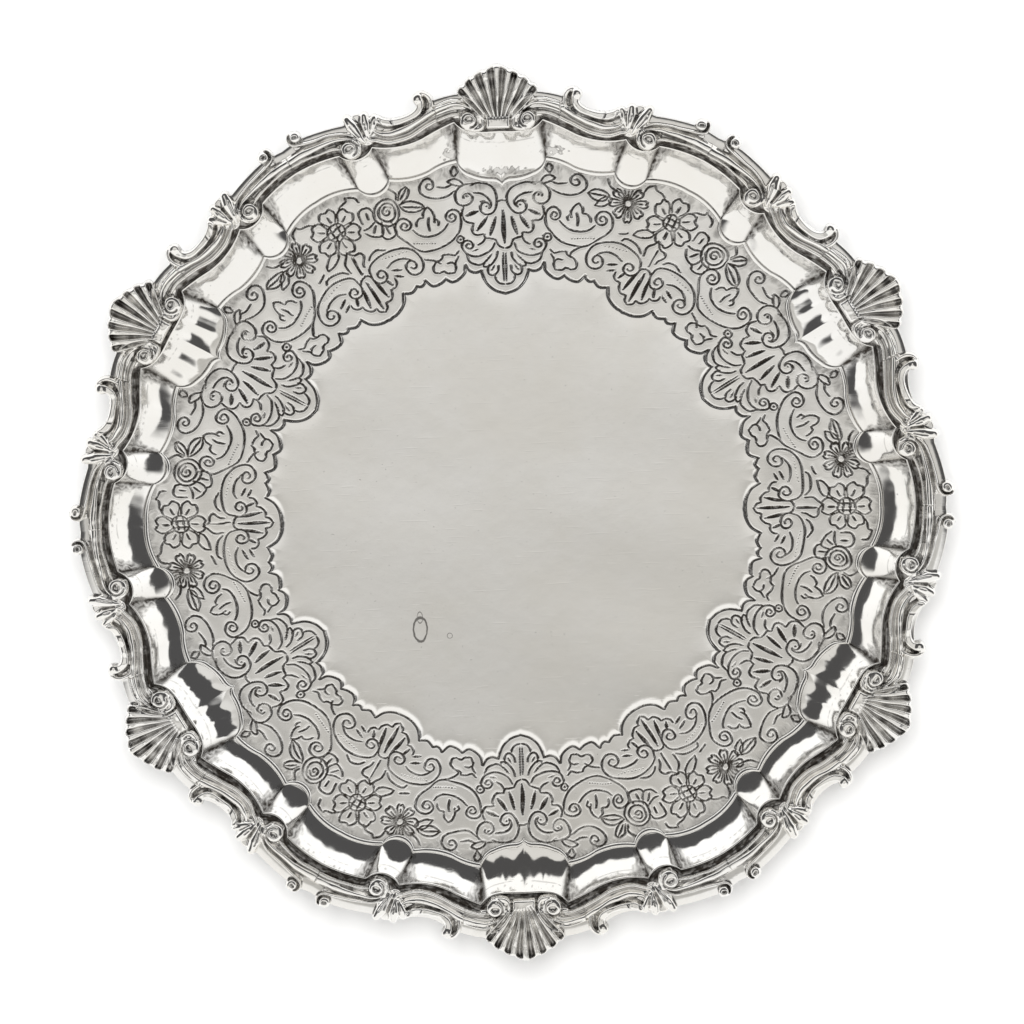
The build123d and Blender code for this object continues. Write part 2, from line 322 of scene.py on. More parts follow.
# Lines of half the pattern in the shell frame; each is repeated mirrored across the shell's axis.
MIRRORED_LINES = [
    [(0, 108.4), (1.6, 108.0)],
    curl([(11.2, 113.3), (8.7, 114.3), (5.4, 113.8), (3.2, 112.5), (2.1, 110.6), (1.8, 108.4), (2.4, 106.0)],
         (5.8, 106.5), 1.05, 1.0),
    curl([(10.2, 114.2), (13.6, 113.9), (15.6, 112.2), (16.1, 110.0), (15.3, 107.8)],
         (12.3, 109.4), -0.95, 1.0),
    [(9.9, 111.0), (7.4, 110.6), (5.4, 109.6), (4.3, 108.1), (4.2, 106.6), (5.0, 105.8)],
    [(0.3, 92.0), (1.8, 92.7), (2.9, 94.8)],
    [(2.9, 94.8), (4.6, 95.3), (6.0, 95.6), (6.6, 97.0)],
    [(6.6, 97.0), (9.2, 96.9), (10.4, 98.7), (10.0, 101.0)],
    [(10.0, 101.0), (12.6, 101.4), (13.8, 103.5), (13.2, 106.0)],
    curl([(3.2, 93.6), (4.5, 91.3), (7.1, 89.8), (10.0, 89.3), (12.9, 90.4), (14.3, 92.8)],
         (11.9, 93.1), 1.35, 0.6),
    [(6.2, 95.7), (7.1, 94.1), (8.9, 93.0)],
    [(2.1, 86.1), (2.4, 84.2), (3.8, 82.9), (5.3, 83.2), (5.8, 84.8), (5.3, 86.4)],
    [(2.3, 90.8), (2.7, 89.0), (3.9, 87.2), (5.3, 86.0), (7.0, 85.8), (7.0, 87.0)],
    [(0.3, 79.6), (1.9, 80.0), (3.0, 81.2), (3.4, 82.6)],
    [(6.2, 87.9), (7.4, 86.8), (9.3, 86.5), (11.9, 87.7), (13.0, 90.2)],
    [(15.7, 91.3), (17.0, 89.9), (19.0, 90.2), (21.0, 90.0)],
    [(21.0, 90.0), (21.6, 88.6), (23.5, 87.6)],
    [(23.5, 87.6), (24.4, 86.0), (23.9, 84.3), (22.4, 83.9)],
    [(22.4, 83.9), (20.8, 84.6), (19.5, 83.9), (17.2, 84.0)],
    [(17.2, 84.0), (16.6, 85.8), (16.9, 87.4), (15.9, 89.6)],
    [(17.0, 87.0), (18.2, 87.5), (19.6, 87.1)],
    curl([(16.2, 112.0), (18.8, 110.1), (22.3, 109.4), (25.7, 110.0), (28.0, 111.8), (28.3, 114.0)],
         (25.1, 113.9), 1.35, 0.6),
    [(17.0, 114.3), (19.0, 113.3), (21.9, 113.4)],
    [(13.2, 114.0), (14.4, 115.6), (16.4, 116.4), (18.2, 115.4), (16.4, 114.2), (14.2, 113.6), (13.2, 114.0)],
    [(16.5, 117.0), (17.3, 118.9), (16.3, 120.4), (15.2, 119.0), (16.2, 117.2)],
    curl([(30.4, 92.7), (28.0, 91.7), (25.6, 91.6), (22.0, 92.6), (18.6, 94.4), (16.2, 96.6), (14.6, 99.2),
          (14.2, 101.8)], (17.5, 102.9), -1.75, 0.7),
    curl([(30.4, 92.7), (32.4, 94.2), (34.6, 95.7), (36.2, 97.3), (36.9, 99.4)],
         middle(-21.3, 103.7), 1.75, 0.7),
    [(19.2, 100.7), (20.8, 98.8), (23.4, 97.2), (26.9, 96.7), (29.3, 97.3), (30.8, 98.6)],
    [(23.6, 101.4), (23.5, 103.3), (24.5, 105.4), (26.0, 106.6)],
    [(26.0, 106.6), (27.2, 105.0), (27.3, 102.8)],
    [(22.4, 100.4), (22.2, 101.8), (23.5, 102.9)],
    [(27.3, 102.8), (28.6, 102.6), (29.4, 101.2), (29.5, 99.7)],
    [(25.2, 98.6), (25.6, 100.8), (25.4, 103.0)],
]
# The same in the middle frame, each repeated mirrored across the C-scroll's middle.
MIRRORED_MIDDLE_LINES = [
    curl([(2.3, 95.1), (3.0, 97.4), (5.0, 98.9), (8.6, 99.7), (12.6, 99.4), (16.4, 97.9), (19.2, 95.2),
          (20.2, 92.0)], (16.2, 90.8), -1.5, 0.8),
    curl([(2.9, 97.3), (2.2, 95.0), (2.4, 93.0)], (5.3, 93.7), 1.3, 0.8),
    [(8.6, 94.6), (11.0, 95.4), (14.1, 95.0), (16.1, 93.5), (17.4, 91.4)],
    [(0, 96.1), (1.4, 95.6), (2.1, 94.6)],
    [(0, 82.3), (1.5, 83.4), (1.9, 84.9)],
    [(1.9, 84.9), (3.7, 84.8), (5.2, 86.2), (5.7, 87.8)],
    [(5.7, 87.8), (7.3, 87.8), (8.6, 88.8), (8.8, 90.2)],
]
# Flowers and leaves of the outer part of the band, in the middle frame; these are not mirrored.
MIDDLE_LINES = [
    [(-30.3, 109.6), (-28.5, 111.9), (-25.0, 112.9), (-22.5, 112.5)],
    [(-30.3, 109.6), (-27.0, 108.9), (-23.5, 110.1), (-22.5, 112.5)],
    [(-29.6, 109.9), (-26.4, 110.9), (-23.6, 111.8)],
    [(-25.8, 107.2), (-24.9, 110.0), (-23.0, 111.8), (-20.9, 112.0)],
    [(-25.8, 107.2), (-23.0, 108.1), (-21.3, 110.4), (-20.9, 112.0)],
    [(-26.0, 117.1), (-24.0, 115.4), (-21.0, 114.9), (-19.0, 115.1)],
    [(24.0, 112.1), (26.0, 114.6), (28.5, 115.1)],
    [(28.5, 115.1), (28.8, 113.5), (27.0, 111.6), (24.4, 110.8)],
    [(24.8, 112.0), (26.6, 113.3), (28.2, 114.4)],
    [(23.5, 110.6), (27.0, 110.4), (29.5, 108.1), (30.1, 105.4)],
    [(30.1, 105.4), (27.0, 106.1), (24.5, 108.1), (23.5, 110.1)],
    [(24.4, 109.6), (27.0, 108.2), (29.4, 106.2)],
    [(23.0, 117.3), (24.5, 114.6), (23.5, 112.6)],
    [(9.6, 111.8), (9.9, 115.4), (11.6, 116.4), (13.9, 115.6), (14.5, 113.4)],
    [(12.0, 112.1), (12.4, 114.4)],
    [(8.9, 109.6), (11.0, 109.5), (13.5, 110.4)],
    [(8.8, 108.4), (10.0, 106.3), (12.5, 105.1), (14.0, 106.4), (15.0, 109.1)],
    [(11.2, 107.0), (12.9, 109.0)],
    [(12.8, 105.1), (13.5, 103.5), (15.5, 102.9), (17.5, 103.6), (18.0, 105.9), (17.8, 108.0)],
    [(15.4, 104.4), (15.8, 107.4)],
    [(-9.0, 104.4), (-8.5, 106.1), (-6.0, 108.1), (-3.5, 107.8)],
    [(-9.0, 104.2), (-6.0, 104.8), (-3.8, 106.1), (-3.2, 107.6)],
    [(-3.0, 99.6), (-3.2, 102.6), (-1.5, 104.8), (-0.7, 106.4)],
    [(-0.7, 106.4), (0.8, 104.6), (3.0, 104.1), (3.8, 102.6), (2.4, 100.4), (2.0, 98.9)],
    [(0.4, 104.0), (0.3, 97.2)],
    [(-12.0, 100.6), (-11.0, 101.9), (-8.5, 102.2), (-6.0, 101.6), (-4.0, 99.9)],
    [(4.5, 100.3), (6.0, 101.6), (8.5, 102.0), (11.0, 100.6)],
    [(-14.0, 102.6), (-12.0, 103.4), (-11.0, 104.1)],
    [(-21.5, 93.6), (-23.8, 91.4), (-25.3, 88.6), (-24.5, 87.4)],
    [(21.0, 90.4), (23.5, 88.4), (24.5, 86.4)],
    [(-10.5, 122.6), (-9.5, 121.5), (-7.0, 121.1), (-5.0, 119.6)],
    [(9.0, 122.6), (8.5, 121.4), (6.0, 120.9), (4.2, 119.6)],
    [(-13.0, 118.9), (-12.4, 121.2), (-10.4, 122.6)],
    [(12.0, 118.9), (11.6, 121.0), (9.4, 122.4)],
]
# Short deep cuts, mirrored as well: two ends and the half width at the widest.
MIRRORED_CUTS = [
    ((0.0, 104.6), (0.0, 93.6), 0.8), ((2.9, 102.8), (4.5, 96.4), 0.7), ((5.8, 103.2), (8.8, 98.4), 0.75),
    ((8.6, 105.0), (12.4, 103.0), 0.7), ((0.4, 90.6), (0.4, 80.6), 0.45), ((3.4, 86.4), (4.6, 84.2), 0.4),
    ((4.2, 90.0), (6.6, 87.2), 0.45), ((7.9, 108.0), (6.0, 108.4), 0.45), ((8.8, 91.6), (11.0, 91.0), 0.4),
]
MIRRORED_MIDDLE_CUTS = [
    ((0.0, 94.4), (0.0, 83.6), 0.75), ((2.2, 93.6), (3.6, 86.2), 0.7), ((5.6, 91.6), (7.0, 88.6), 0.6),
    ((9.4, 93.0), (12.6, 91.2), 0.55), ((9.0, 90.9), (11.8, 89.2), 0.5),
]
# Punched dots: the first, the last, how many, and the radius.
MIRRORED_DOTS = [
    ((23.2, 94.4), (30.6, 94.2), 9, 0.34), ((12.2, 109.9), (12.2, 109.9), 1, 0.5),
    ((14.6, 95.4), (14.6, 95.4), 1, 0.5), ((5.8, 106.6), (5.8, 106.6), 1, 0.4),
]
MIRRORED_MIDDLE_DOTS = [((8.8, 98.3), (17.0, 96.0), 8, 0.3)]
RINGS = [((14.6, 95.4), 1.25)]
# The scalloped line that ends the chasing: lobes of half a sector, from the shell's axis.
SCALLOPS = [
    [(0, 76.5), (3.6, 77.8), (6.3, 80.4), (7.9, 84.2)],
    [(7.9, 84.6), (10.0, 84.0), (12.0, 84.8), (13.3, 86.8)],
    [(13.4, 86.8), (13.9, 84.0), (16.0, 81.8), (18.1, 81.0), (20.3, 82.2)],
    [(20.3, 82.0), (22.2, 80.5), (24.7, 79.8), (27.2, 81.8)],
    middles((-17.2, 84.4), (-16.6, 83.8), (-15.0, 83.4), (-13.7, 84.4)),
    middles((-13.6, 84.2), (-11.2, 83.3), (-9.0, 84.2)),
    middles((-8.6, 84.6), (-6.6, 81.6), (-3.5, 79.9), (0, 79.4)),
]


def petals(centre, inner, outer, count, start, gap=0.12):
    """Lines of a flower's rounded petals about its centre, each with a short stroke at its middle."""
    lines = []
    for number in range(count):
        bearing = radians(start + number * 360 / count)
        half = pi / count * (1 - gap)

        def spot(reach, turn):
            return (centre[0] + reach * cos(bearing + turn), centre[1] + reach * sin(bearing + turn))
        lines.append([spot(inner, -half * 0.8), spot(outer * 0.78, -half), spot(outer, -half * 0.45),
                      spot(outer * 0.93, 0), spot(outer, half * 0.45), spot(outer * 0.78, half),
                      spot(inner, half * 0.8)])
        lines.append([spot(inner * 1.25, 0), spot(outer * 0.72, 0)])
    return lines


def circle(centre, radius, stretch=1.0, count=16):
    """A closed round line."""
    angles = np.linspace(0, 2 * pi, count + 1)
    return [(centre[0] + radius * stretch * cos(a), centre[1] + radius * sin(a)) for a in angles]


def flowers():
    """Lines of the three flowers beside the C-scroll's middle, in the middle frame."""
    big, daisy, rose = (0.2, 114.1), (-15.9, 112.8), (18.3, 110.9)
    lines = petals(big, 3.1, 8.5, 6, 30) + [circle(big, 2.9)]
    lines += petals(daisy, 1.5, 6.2, 8, 70, 0.3) + [circle(daisy, 1.3, count=10)]
    lines += [circle(rose, 4.5), circle(rose, 3.0)]
    lines.append(curl([(20.2, 111.3), (18.6, 112.8)], rose, 1.2, 0.4))
    for step in (-1.1, 1.1):
        lines.append([(big[0] + step, big[1] - 2.2), (big[0] + step, big[1] + 2.2)])
        lines.append([(big[0] - 2.2, big[1] + step), (big[0] + 2.2, big[1] + step)])
    return lines


def both_sides(lines):
    """Lines and their mirror images."""
    return list(lines) + [flipped(line) for line in lines]


def chased_lines():
    """Every engraved line of one sector, in the shell frame."""
    lines = both_sides(MIRRORED_LINES + [circle(centre, radius) for centre, radius in RINGS])
    far = both_sides(MIRRORED_MIDDLE_LINES) + MIDDLE_LINES + flowers()
    lines += [middles(*line) for line in far]
    lines += [list(turned(middles(*line), -SECTOR_ANGLE)) for line in far]
    return [smooth_line(line) for line in lines]


def chased_cuts():
    """Every deep cut of one sector: two ends and a half width, in the shell frame."""
    cuts = [((sx * a[0], a[1]), (sx * b[0], b[1]), w) for a, b, w in MIRRORED_CUTS for sx in (1, -1)]
    for a, b, width in MIRRORED_MIDDLE_CUTS:
        for side in (1, -1):
            ends = middles((side * a[0], a[1]), (side * b[0], b[1]))
            cuts.append((*ends, width))
            cuts.append((*turned(ends, -SECTOR_ANGLE), width))
    return cuts


def chased_dots():
    """The centre and radius of every punched dot of one sector, in the shell frame."""
    dots = []
    for groups, frames in ((MIRRORED_DOTS, (0,)), (MIRRORED_MIDDLE_DOTS, (0.5, -0.5))):
        for first, last, count, radius in groups:
            for share in np.linspace(0, 1, count):
                spot = np.asarray(first) * (1 - share) + np.asarray(last) * share
                for side in (1, -1):
                    for part in frames:
                        dots.append((turned(spot * (side, 1), part * SECTOR_ANGLE), radius))
    return dots


def scallop_lines():
    """The scalloped line of one sector, lobe by lobe."""
    return [smooth_line(lobe, 9) for lobe in both_sides(SCALLOPS)]


def engrave(points, depth, lines, half_width, cut_depth):
    """Deepens the groove depth at points near the lines, and returns the raised burr beside them."""
    burr = np.zeros(len(points))
    for line in lines:
        near = window(points, line, 3 * half_width)
        if len(near) == 0:
            continue
        gap, along = nearest(points[near], line)
        share = gap / half_width
        taper = 0.55 + 0.45 * np.sin(pi * np.clip(along, 0.03, 0.97)) ** 0.5
        groove = cut_depth * taper * np.clip(1 - share ** 2, 0, None) ** 1.5
        depth[near] = np.maximum(depth[near], groove)
        burr[near] = np.maximum(burr[near], 0.28 * cut_depth * taper * np.exp(-((share - 1.5) / 0.42) ** 2))
    return burr


def chase(points):
    """Height and patina of the chased band at points of one sector, in the shell frame."""
    depth = np.zeros(len(points))
    burr = engrave(points, depth, chased_lines(), LINE_HALF_WIDTH, LINE_DEPTH)
    for start, end, width in chased_cuts():
        near = window(points, np.array([start, end]), width)
        gap, along = nearest(points[near], np.array([start, end]))
        reach = width * np.clip(np.sin(pi * np.clip(along, 0.04, 0.96)), 0, 1) ** 0.6
        bowl = 0.34 * width * np.clip(1 - (gap / reach) ** 2, 0, None)
        ripple = 1 + 0.25 * np.sin(along * hypot(end[0] - start[0], end[1] - start[1]) * 2 * pi / 0.9)
        depth[near] = np.maximum(depth[near], bowl * ripple)
    for centre, radius in chased_dots():
        near = window(points, centre[None], radius)
        gap = np.hypot(*(points[near] - centre).T)
        depth[near] = np.maximum(depth[near], 0.5 * radius * np.clip(1 - (gap / radius) ** 2, 0, None))
    dark = eased(depth, 0.03, 0.12)
    rim = np.full(len(points), 1e9)
    lobes = scallop_lines()
    for lobe in lobes:
        near = window(points, lobe, 8)
        rim[near] = np.minimum(rim[near], nearest(points[near], lobe)[0])
    outline = np.vstack(sorted(lobes, key=lambda lobe: atan2(*np.mean(lobe, axis=0))))
    bearings = np.arctan2(outline[:, 0], outline[:, 1])
    order = np.argsort(bearings)
    reach = np.interp(np.arctan2(points[:, 0], points[:, 1]), bearings[order], np.hypot(*outline[order].T))
    inside = np.hypot(*points.T) < reach
    share = rim / SCALLOP_HALF_WIDTH
    groove = SCALLOP_DEPTH * np.clip(1 - share ** 2, 0, None) ** 1.5
    dark = np.maximum(dark, eased(groove, 0.08, 0.24))
    fall = np.where(inside, PLATEAU_DROP * np.exp(-rim / PLATEAU_FALL), PLATEAU_DROP)
    height = np.where(inside, -fall - groove, -fall - np.maximum(depth, groove) + burr)
    return height, dark, inside


# ---------------------------------------------------------------- tray

DENSE_RADIUS = 69.5          # columns are at their closest outside this
BAND_RINGS = 175
ROLL_HALF_WIDTH = 0.85       # the bright roll along the foot of the bouge
ROLL_RISE = 0.65
BOUGE_RINGS = 56
BOUGE_HOLLOW = 1.65          # how hollow the bouge is: the power of its rise
BRACKET_HOLLOW = 0.6         # added to that in the bracket panels below the shells
LIP_STEP = 2.5               # the lip round the well stands lower than the flange by this much
LIP_INSET = 1.0              # and this far inside the well's top outline
BRACKET_BEARING = 7.15       # of the crease at the end of a bracket panel, from the shell's axis
CREASES = ((BRACKET_BEARING, 1), (18.2, -1), (23.35, 1))       # bearing, and the side of the stain
DEGREE = 2.18                # millimetres along the bouge
# Dark blotches on the bouge of sector 1: centre and half sizes.
BLOTCHES = [((0.5, 117.6), (6.0, 1.2)), ((17.4, 124.0), (3.6, 1.5)), ((-17.2, 123.8), (2.4, 1.8))]
FLANGE_FALL = 0.4            # the flange drops this much in the last stretch to its edge
FLANGE_FALL_REACH = 3.0
CREVICE_WIDTH = 3.0          # from the lip to where the flange is level
# Across the lip and the crevice outside it: distance from the lip, height over the flange, patina. The dark in
# the crevice is patina and painted shade.
LIP_PROFILE = [
    (0.2, 0.2 - LIP_STEP, 0.0), (0.45, 0.3 - LIP_STEP, 0.0), (0.7, 0.18 - LIP_STEP, 0.1),
    (0.9, -0.2 - LIP_STEP, 0.7), (1.2, -0.25 - LIP_STEP, 0.95), (1.5, -1.6, 0.95),
    (1.9, -0.4, 0.95), (2.3, -0.1, 0.95), (CREVICE_WIDTH, 0.0, 0.8),
]
# The same under the sheet: distance from the lip, and depth below the flange's underside.
LIP_UNDERSIDE = [(2.6, 0.0), (2.1, 0.6), (1.6, 2.3), (1.2, LIP_STEP + 0.2), (0.5, LIP_STEP + 0.1)]
ROLL_SHARES = (-1.0, -0.8, -0.56, -0.27, 0.0, 0.27, 0.56, 0.8, 1.0)
# Rings of the floor's plain middle and of the underside's: radius and count of columns.
FLOOR_RINGS = [
    (68.2, 1200), (65.5, 600), (60.0, 600), (54.0, 300), (44.0, 300), (33.0, 150), (22.0, 150), (11.0, 50),
]
UNDERSIDE_RINGS = [(30.0, 150), (12.0, 50)]


def column_shape():
    """The foot, top and edge of every column of the tray."""
    counts = column_counts()
    foot = half_outline(WELL_FOOT, counts)
    top = half_outline(WELL_TOP, counts)
    edge = edge_at(np.degrees(np.arctan2(top[:, 0], top[:, 1])))
    foot, top, edge = (whole_outline(half) for half in (foot, top, edge))
    top = settled(top * (1 - LIP_INSET / np.hypot(*top.T))[:, None])
    return foot, top, edge


def bouge_height(share, bracket=0.0):
    """Height above the floor at a share of the way up the bouge, where a bracket panel counts as 1."""
    return (WELL_DEPTH - LIP_STEP) * share ** (BOUGE_HOLLOW + BRACKET_HOLLOW * bracket)


def panel_place(foot):
    """Bearing of each column from the nearest shell's axis, and its share in a bracket panel."""
    bearing = np.degrees(np.arctan2(foot[:, 0], foot[:, 1]))
    across = (bearing + SECTOR_ANGLE / 2) % SECTOR_ANGLE - SECTOR_ANGLE / 2
    return across, eased(BRACKET_BEARING - np.abs(across), 0.3, 2.0)


def at_level(spots, level):
    """A ring of points from its plan and one height, or a height for each."""
    return np.column_stack([spots, np.broadcast_to(level, len(spots))])


def floor_level(spots, worked=0.0):
    """Height of the floor, which swells very slightly, with what is worked into it."""
    return FLOOR_TOP + worked + 0.05 * Waves(12, 60.0).at(spots)


def chased_surface(points):
    """Height and patina of the chasing at points of all six sectors, and which are inside its edge."""
    bearings = np.degrees(np.arctan2(points[:, 0], points[:, 1]))
    sectors = np.round(bearings / SECTOR_ANGLE).astype(int) % SECTORS
    height, dark = np.zeros(len(points)), np.zeros(len(points))
    inside = np.zeros(len(points), bool)
    for sector in range(SECTORS):
        own = np.flatnonzero(sectors == sector)
        local = turned(points[own], -sector * SECTOR_ANGLE)
        wander = [Waves(100 + 2 * sector + axis, 12.0) for axis in (0, 1)]
        fade = eased(np.hypot(*local.T), 84, 92)[:, None] * 0.22
        local = local + fade * np.stack([wave.at(points[own]) for wave in wander], axis=1)
        height[own], dark[own], inside[own] = chase(local / CHASED_SCALE)
    return height, dark, inside


def band_rings(foot):
    """Rings of the chased band with the matting along its outer edge, and their patina."""
    reach_foot = np.hypot(*foot.T)
    heading = foot / reach_foot[:, None]
    spread = reach_foot - 1.0 - DENSE_RADIUS
    shares = np.linspace(0, 1, BAND_RINGS)
    points = np.vstack([heading * (DENSE_RADIUS + spread * share)[:, None] for share in shares])
    height, dark, inside = chased_surface(points)
    height += 0.018 * Waves(11, 9.0).at(points) * ~inside
    to_foot = np.tile(reach_foot, BAND_RINGS) - np.hypot(*points.T)
    uneven = Waves(13, 5.0).at(points)
    bearings = np.degrees(np.arctan2(points[:, 0], points[:, 1]))
    from_crease = np.abs((bearings + SECTOR_ANGLE / 2) % SECTOR_ANGLE - SECTOR_ANGLE / 2) - BRACKET_BEARING
    near_crease = np.exp(-(from_crease / 2.6) ** 2)
    matting = eased(-to_foot / (1 + 0.9 * near_crease + 0.35 * uneven), -4.4, -1.3)
    phase = np.tile(np.arange(COLUMNS), BAND_RINGS) * 2 * pi / 4.6
    hatch = np.sin(phase + 2.2 * Waves(14, 3.0).at(points)) * eased(Waves(15, 3.5).at(points), -0.9, 0.5)
    height -= matting * 0.03 * (1 + hatch)
    dark = np.maximum(dark, matting * (0.36 + 0.16 * hatch + 0.08 * uneven))
    dark = np.maximum(dark, 0.10 * ~inside * (0.5 + 0.5 * Waves(16, 18.0).at(points)))
    rings, darks = [], []
    for number in range(BAND_RINGS):
        rows = slice(number * COLUMNS, (number + 1) * COLUMNS)
        spots = points[rows]
        rings.append(at_level(spots, floor_level(spots, height[rows])))
        darks.append(dark[rows])
    return rings, darks


def roll_rings(foot, top):
    """Rings of the bright roll along the foot of the bouge, and their patina."""
    up = top - foot
    along = up / np.hypot(*up.T)[:, None]
    rings, darks = [], []
    for share in ROLL_SHARES:
        base = -PLATEAU_DROP * eased(-share, -1, 1)
        level = FLOOR_TOP + base + ROLL_RISE * np.sqrt(max(0.0, 1 - share ** 2))
        rings.append(at_level(foot + along * (share * ROLL_HALF_WIDTH), level))
        darks.append(np.full(COLUMNS, 0.7 if share == -1 else 0.0))
    return rings, darks


def bouge_rings(foot, top):
    """Rings of the hollow bouge, whose bracket panels are lobed, and their patina."""
    up = top - foot
    start = ROLL_HALF_WIDTH / np.hypot(*up.T)
    across, bracket = panel_place(foot)
    x_across = np.tan(np.radians(across)) * 120
    lobes = 2.0 * np.cos(2 * pi * x_across / 8.0) * eased(9.5 - np.abs(x_across), 0, 2.5) * bracket
    slow, quick = Waves(21, 14.0), Waves(22, 5.0)
    rings, darks = [], []
    for number in range(BOUGE_RINGS):
        share = np.minimum(start + (1 - start) * (number + 1) / BOUGE_RINGS, 1)
        spot = foot + up * share[:, None]
        ripple = lobes * share ** 2 * (1 - share)
        unrest = (0.10 * slow.at(spot) + 0.03 * quick.at(spot)) * (4 * share * (1 - share)) ** 0.7
        rings.append(at_level(spot, FLOOR_TOP + bouge_height(share, bracket) + ripple + unrest))
        darks.append(bouge_patina(across, spot, share))
    return rings, darks


def flange_rings(top, edge):
    """Rings of the lip, the crevice outside it and the flange, and their patina; the crevice's dark is patina
    and painted shade.
    """
    out = edge - top
    width = np.hypot(*out.T)
    outwards = out / width[:, None]
    rings, darks = [], []
    for gap, rise, dark in LIP_PROFILE:
        rings.append(at_level(top + outwards * gap, FLANGE_TOP + rise))
        darks.append(np.full(COLUMNS, dark))
    for number in range(1, 21):
        gap = CREVICE_WIDTH + (width - CREVICE_WIDTH - 0.2) * (number / 20) ** 0.6
        left = np.clip((width - gap) / FLANGE_FALL_REACH, 0, 1)
        rings.append(at_level(top + outwards * gap[:, None], FLANGE_TOP - FLANGE_FALL * (1 - left) ** 2))
        darks.append(0.12 * left)
    rings.append(at_level(edge, FLANGE_TOP - SHEET * 0.83))
    darks.append(np.zeros(COLUMNS))
    return rings, darks


def crease_patina(across, spots, share):
    """Patina in the upright creases of the bouge, with a ragged brown stain on one side of each."""
    ragged = Waves(31, 2.4).at(spots)
    dark = np.zeros(len(across))
    for bearing, side in CREASES:
        away = (np.abs(across) - bearing) * side * DEGREE
        core = 0.95 * np.exp(-(away / (0.3 + 0.5 * share)) ** 2)
        reach = 0.6 + 3.6 * share ** 1.3 + 0.5 * ragged
        streaks = 0.75 + 0.25 * np.sin(away * 4.2 + 2 * ragged)
        stain = (away > 0) * np.clip(1.15 - away / np.maximum(reach, 0.3), 0, 1) ** 0.6
        dark = np.maximum(dark, np.maximum(core, stain * streaks))
    return dark


def bouge_patina(across, spots, share):
    """All the patina of one ring of the bouge: creases, the line below the lip and a few blotches."""
    dark = crease_patina(across, spots, share)
    fine = Waves(32, 1.6).at(spots)
    broad = Waves(33, 16.0).at(spots)
    line = np.exp(-((share - 0.8 - 0.015 * broad) / 0.012) ** 2) * eased(broad + 0.5 * fine, -0.4, 0.5)
    above = eased(share, 0.8, 0.86) * eased(fine, 0.9, 1.6)
    dark = np.maximum(dark, np.maximum(0.4 * line, 0.3 * above))
    for centre, size in BLOTCHES:
        reach = np.sqrt((((spots - centre) / size) ** 2).sum(axis=1))
        inside = -reach + 0.4 * fine
        dark = np.maximum(dark, 0.7 * eased(inside, -1.1, -0.95) - 0.45 * eased(inside, -0.9, -0.6))
    return dark


def lower_rings():
    """Rings of the underside, inwards: the upper side let down by the sheet's thickness."""
    foot, top, edge = (outline[::4] for outline in column_shape())
    outwards = (edge - top) / np.hypot(*(edge - top).T)[:, None]
    bracket = panel_place(foot)[1]
    level = FLANGE_TOP - SHEET
    rings = [at_level(edge - outwards * 0.3, level)]
    for share in (0.75, 0.5, 0.3):
        rings.append(at_level(top + (edge - top) * share, level))
    for gap, drop in LIP_UNDERSIDE:
        rings.append(at_level(top + outwards * gap, level - drop))
    for share in np.arange(20, -1, -1) / 20:
        spot = foot + (top - foot) * share
        rings.append(at_level(spot, FLOOR_BOTTOM - 0.3 * share + bouge_height(share, bracket)))
    for share in (0.93, 0.8, 0.6, 0.4):
        rings.append(at_level(foot * share, FLOOR_BOTTOM))
    return rings


def ring_faces(near, far, flip=False):
    """Faces between two rings, each a first point and a count; the far one's count divides the near one's."""
    (first, count), (next_first, next_count) = near, far
    ratio = count // next_count
    steps = np.arange(next_count)
    corners = [first + (steps * ratio + part) % count for part in range(ratio + 1)]
    corners += [next_first + (steps + 1) % next_count, next_first + steps]
    faces = np.stack(corners, axis=1)
    return faces[:, ::-1] if flip else faces


class Sheet:
    """The tray's mesh as it grows ring by ring."""

    def __init__(self):
        self.points, self.darks, self.faces = [], [], []
        self.total = 0

    def add(self, ring, dark=0.0):
        """Adds a ring of points; returns the number of its first point and their count."""
        self.points.append(ring)
        self.darks.append(np.broadcast_to(dark, len(ring)))
        self.total += len(ring)
        return self.total - len(ring), len(ring)

    def grow(self, start, rings, flip=False):
        """Adds rings inwards from a ring that is there, with the faces between; closes the last."""
        last = start
        for ring in rings:
            added = self.add(ring)
            self.faces.append(ring_faces(last, added, flip))
            last = added
        cap = np.arange(last[0], sum(last))[None]
        self.faces.append(cap[:, ::-1] if flip else cap)


def round_rings(outer, sizes, level):
    """Rings of the given radii and counts, on the bearings of an outer ring's points."""
    rings = []
    for radius, count in sizes:
        spots = outer[::len(outer) // count, :2]
        spots = spots / np.hypot(*spots.T)[:, None] * radius
        rings.append(at_level(spots, level(spots)))
    return rings


def build_tray(material):
    """One closed sheet: chased floor, panelled bouge and flange."""
    foot, top, edge = column_shape()
    rings, darks = [], []
    for part in (band_rings(foot), roll_rings(foot, top), bouge_rings(foot, top), flange_rings(top, edge)):
        rings += part[0]
        darks += part[1]
    sheet = Sheet()
    spans = [sheet.add(ring, dark) for ring, dark in zip(rings, darks)]
    sheet.faces += [ring_faces(near, far) for near, far in zip(spans, spans[1:])]
    sheet.grow(spans[0], round_rings(rings[0], FLOOR_RINGS, floor_level), flip=True)
    under = lower_rings()
    sheet.grow(spans[-1], under + round_rings(under[-1], UNDERSIDE_RINGS, lambda spots: FLOOR_BOTTOM))
    return make_piece("salver_tray", np.vstack(sheet.points), sheet.faces, material,
                      {"patina": np.concatenate(sheet.darks)})


# ---------------------------------------------------------------- cast border

STEP = 0.2                   # spacing of the relief's points
CASTING_BOTTOM = FLANGE_TOP - SHEET * 0.8
EDGE_ROLL = 0.55             # reach of the rounding along a casting's outline
SEAM_ROLL = 0.12
SEAM_GAP = 0.02              # left open at each side of a solder seam
CAVITY_REACH = 3.2           # cells; how far round a point its height is compared for patina


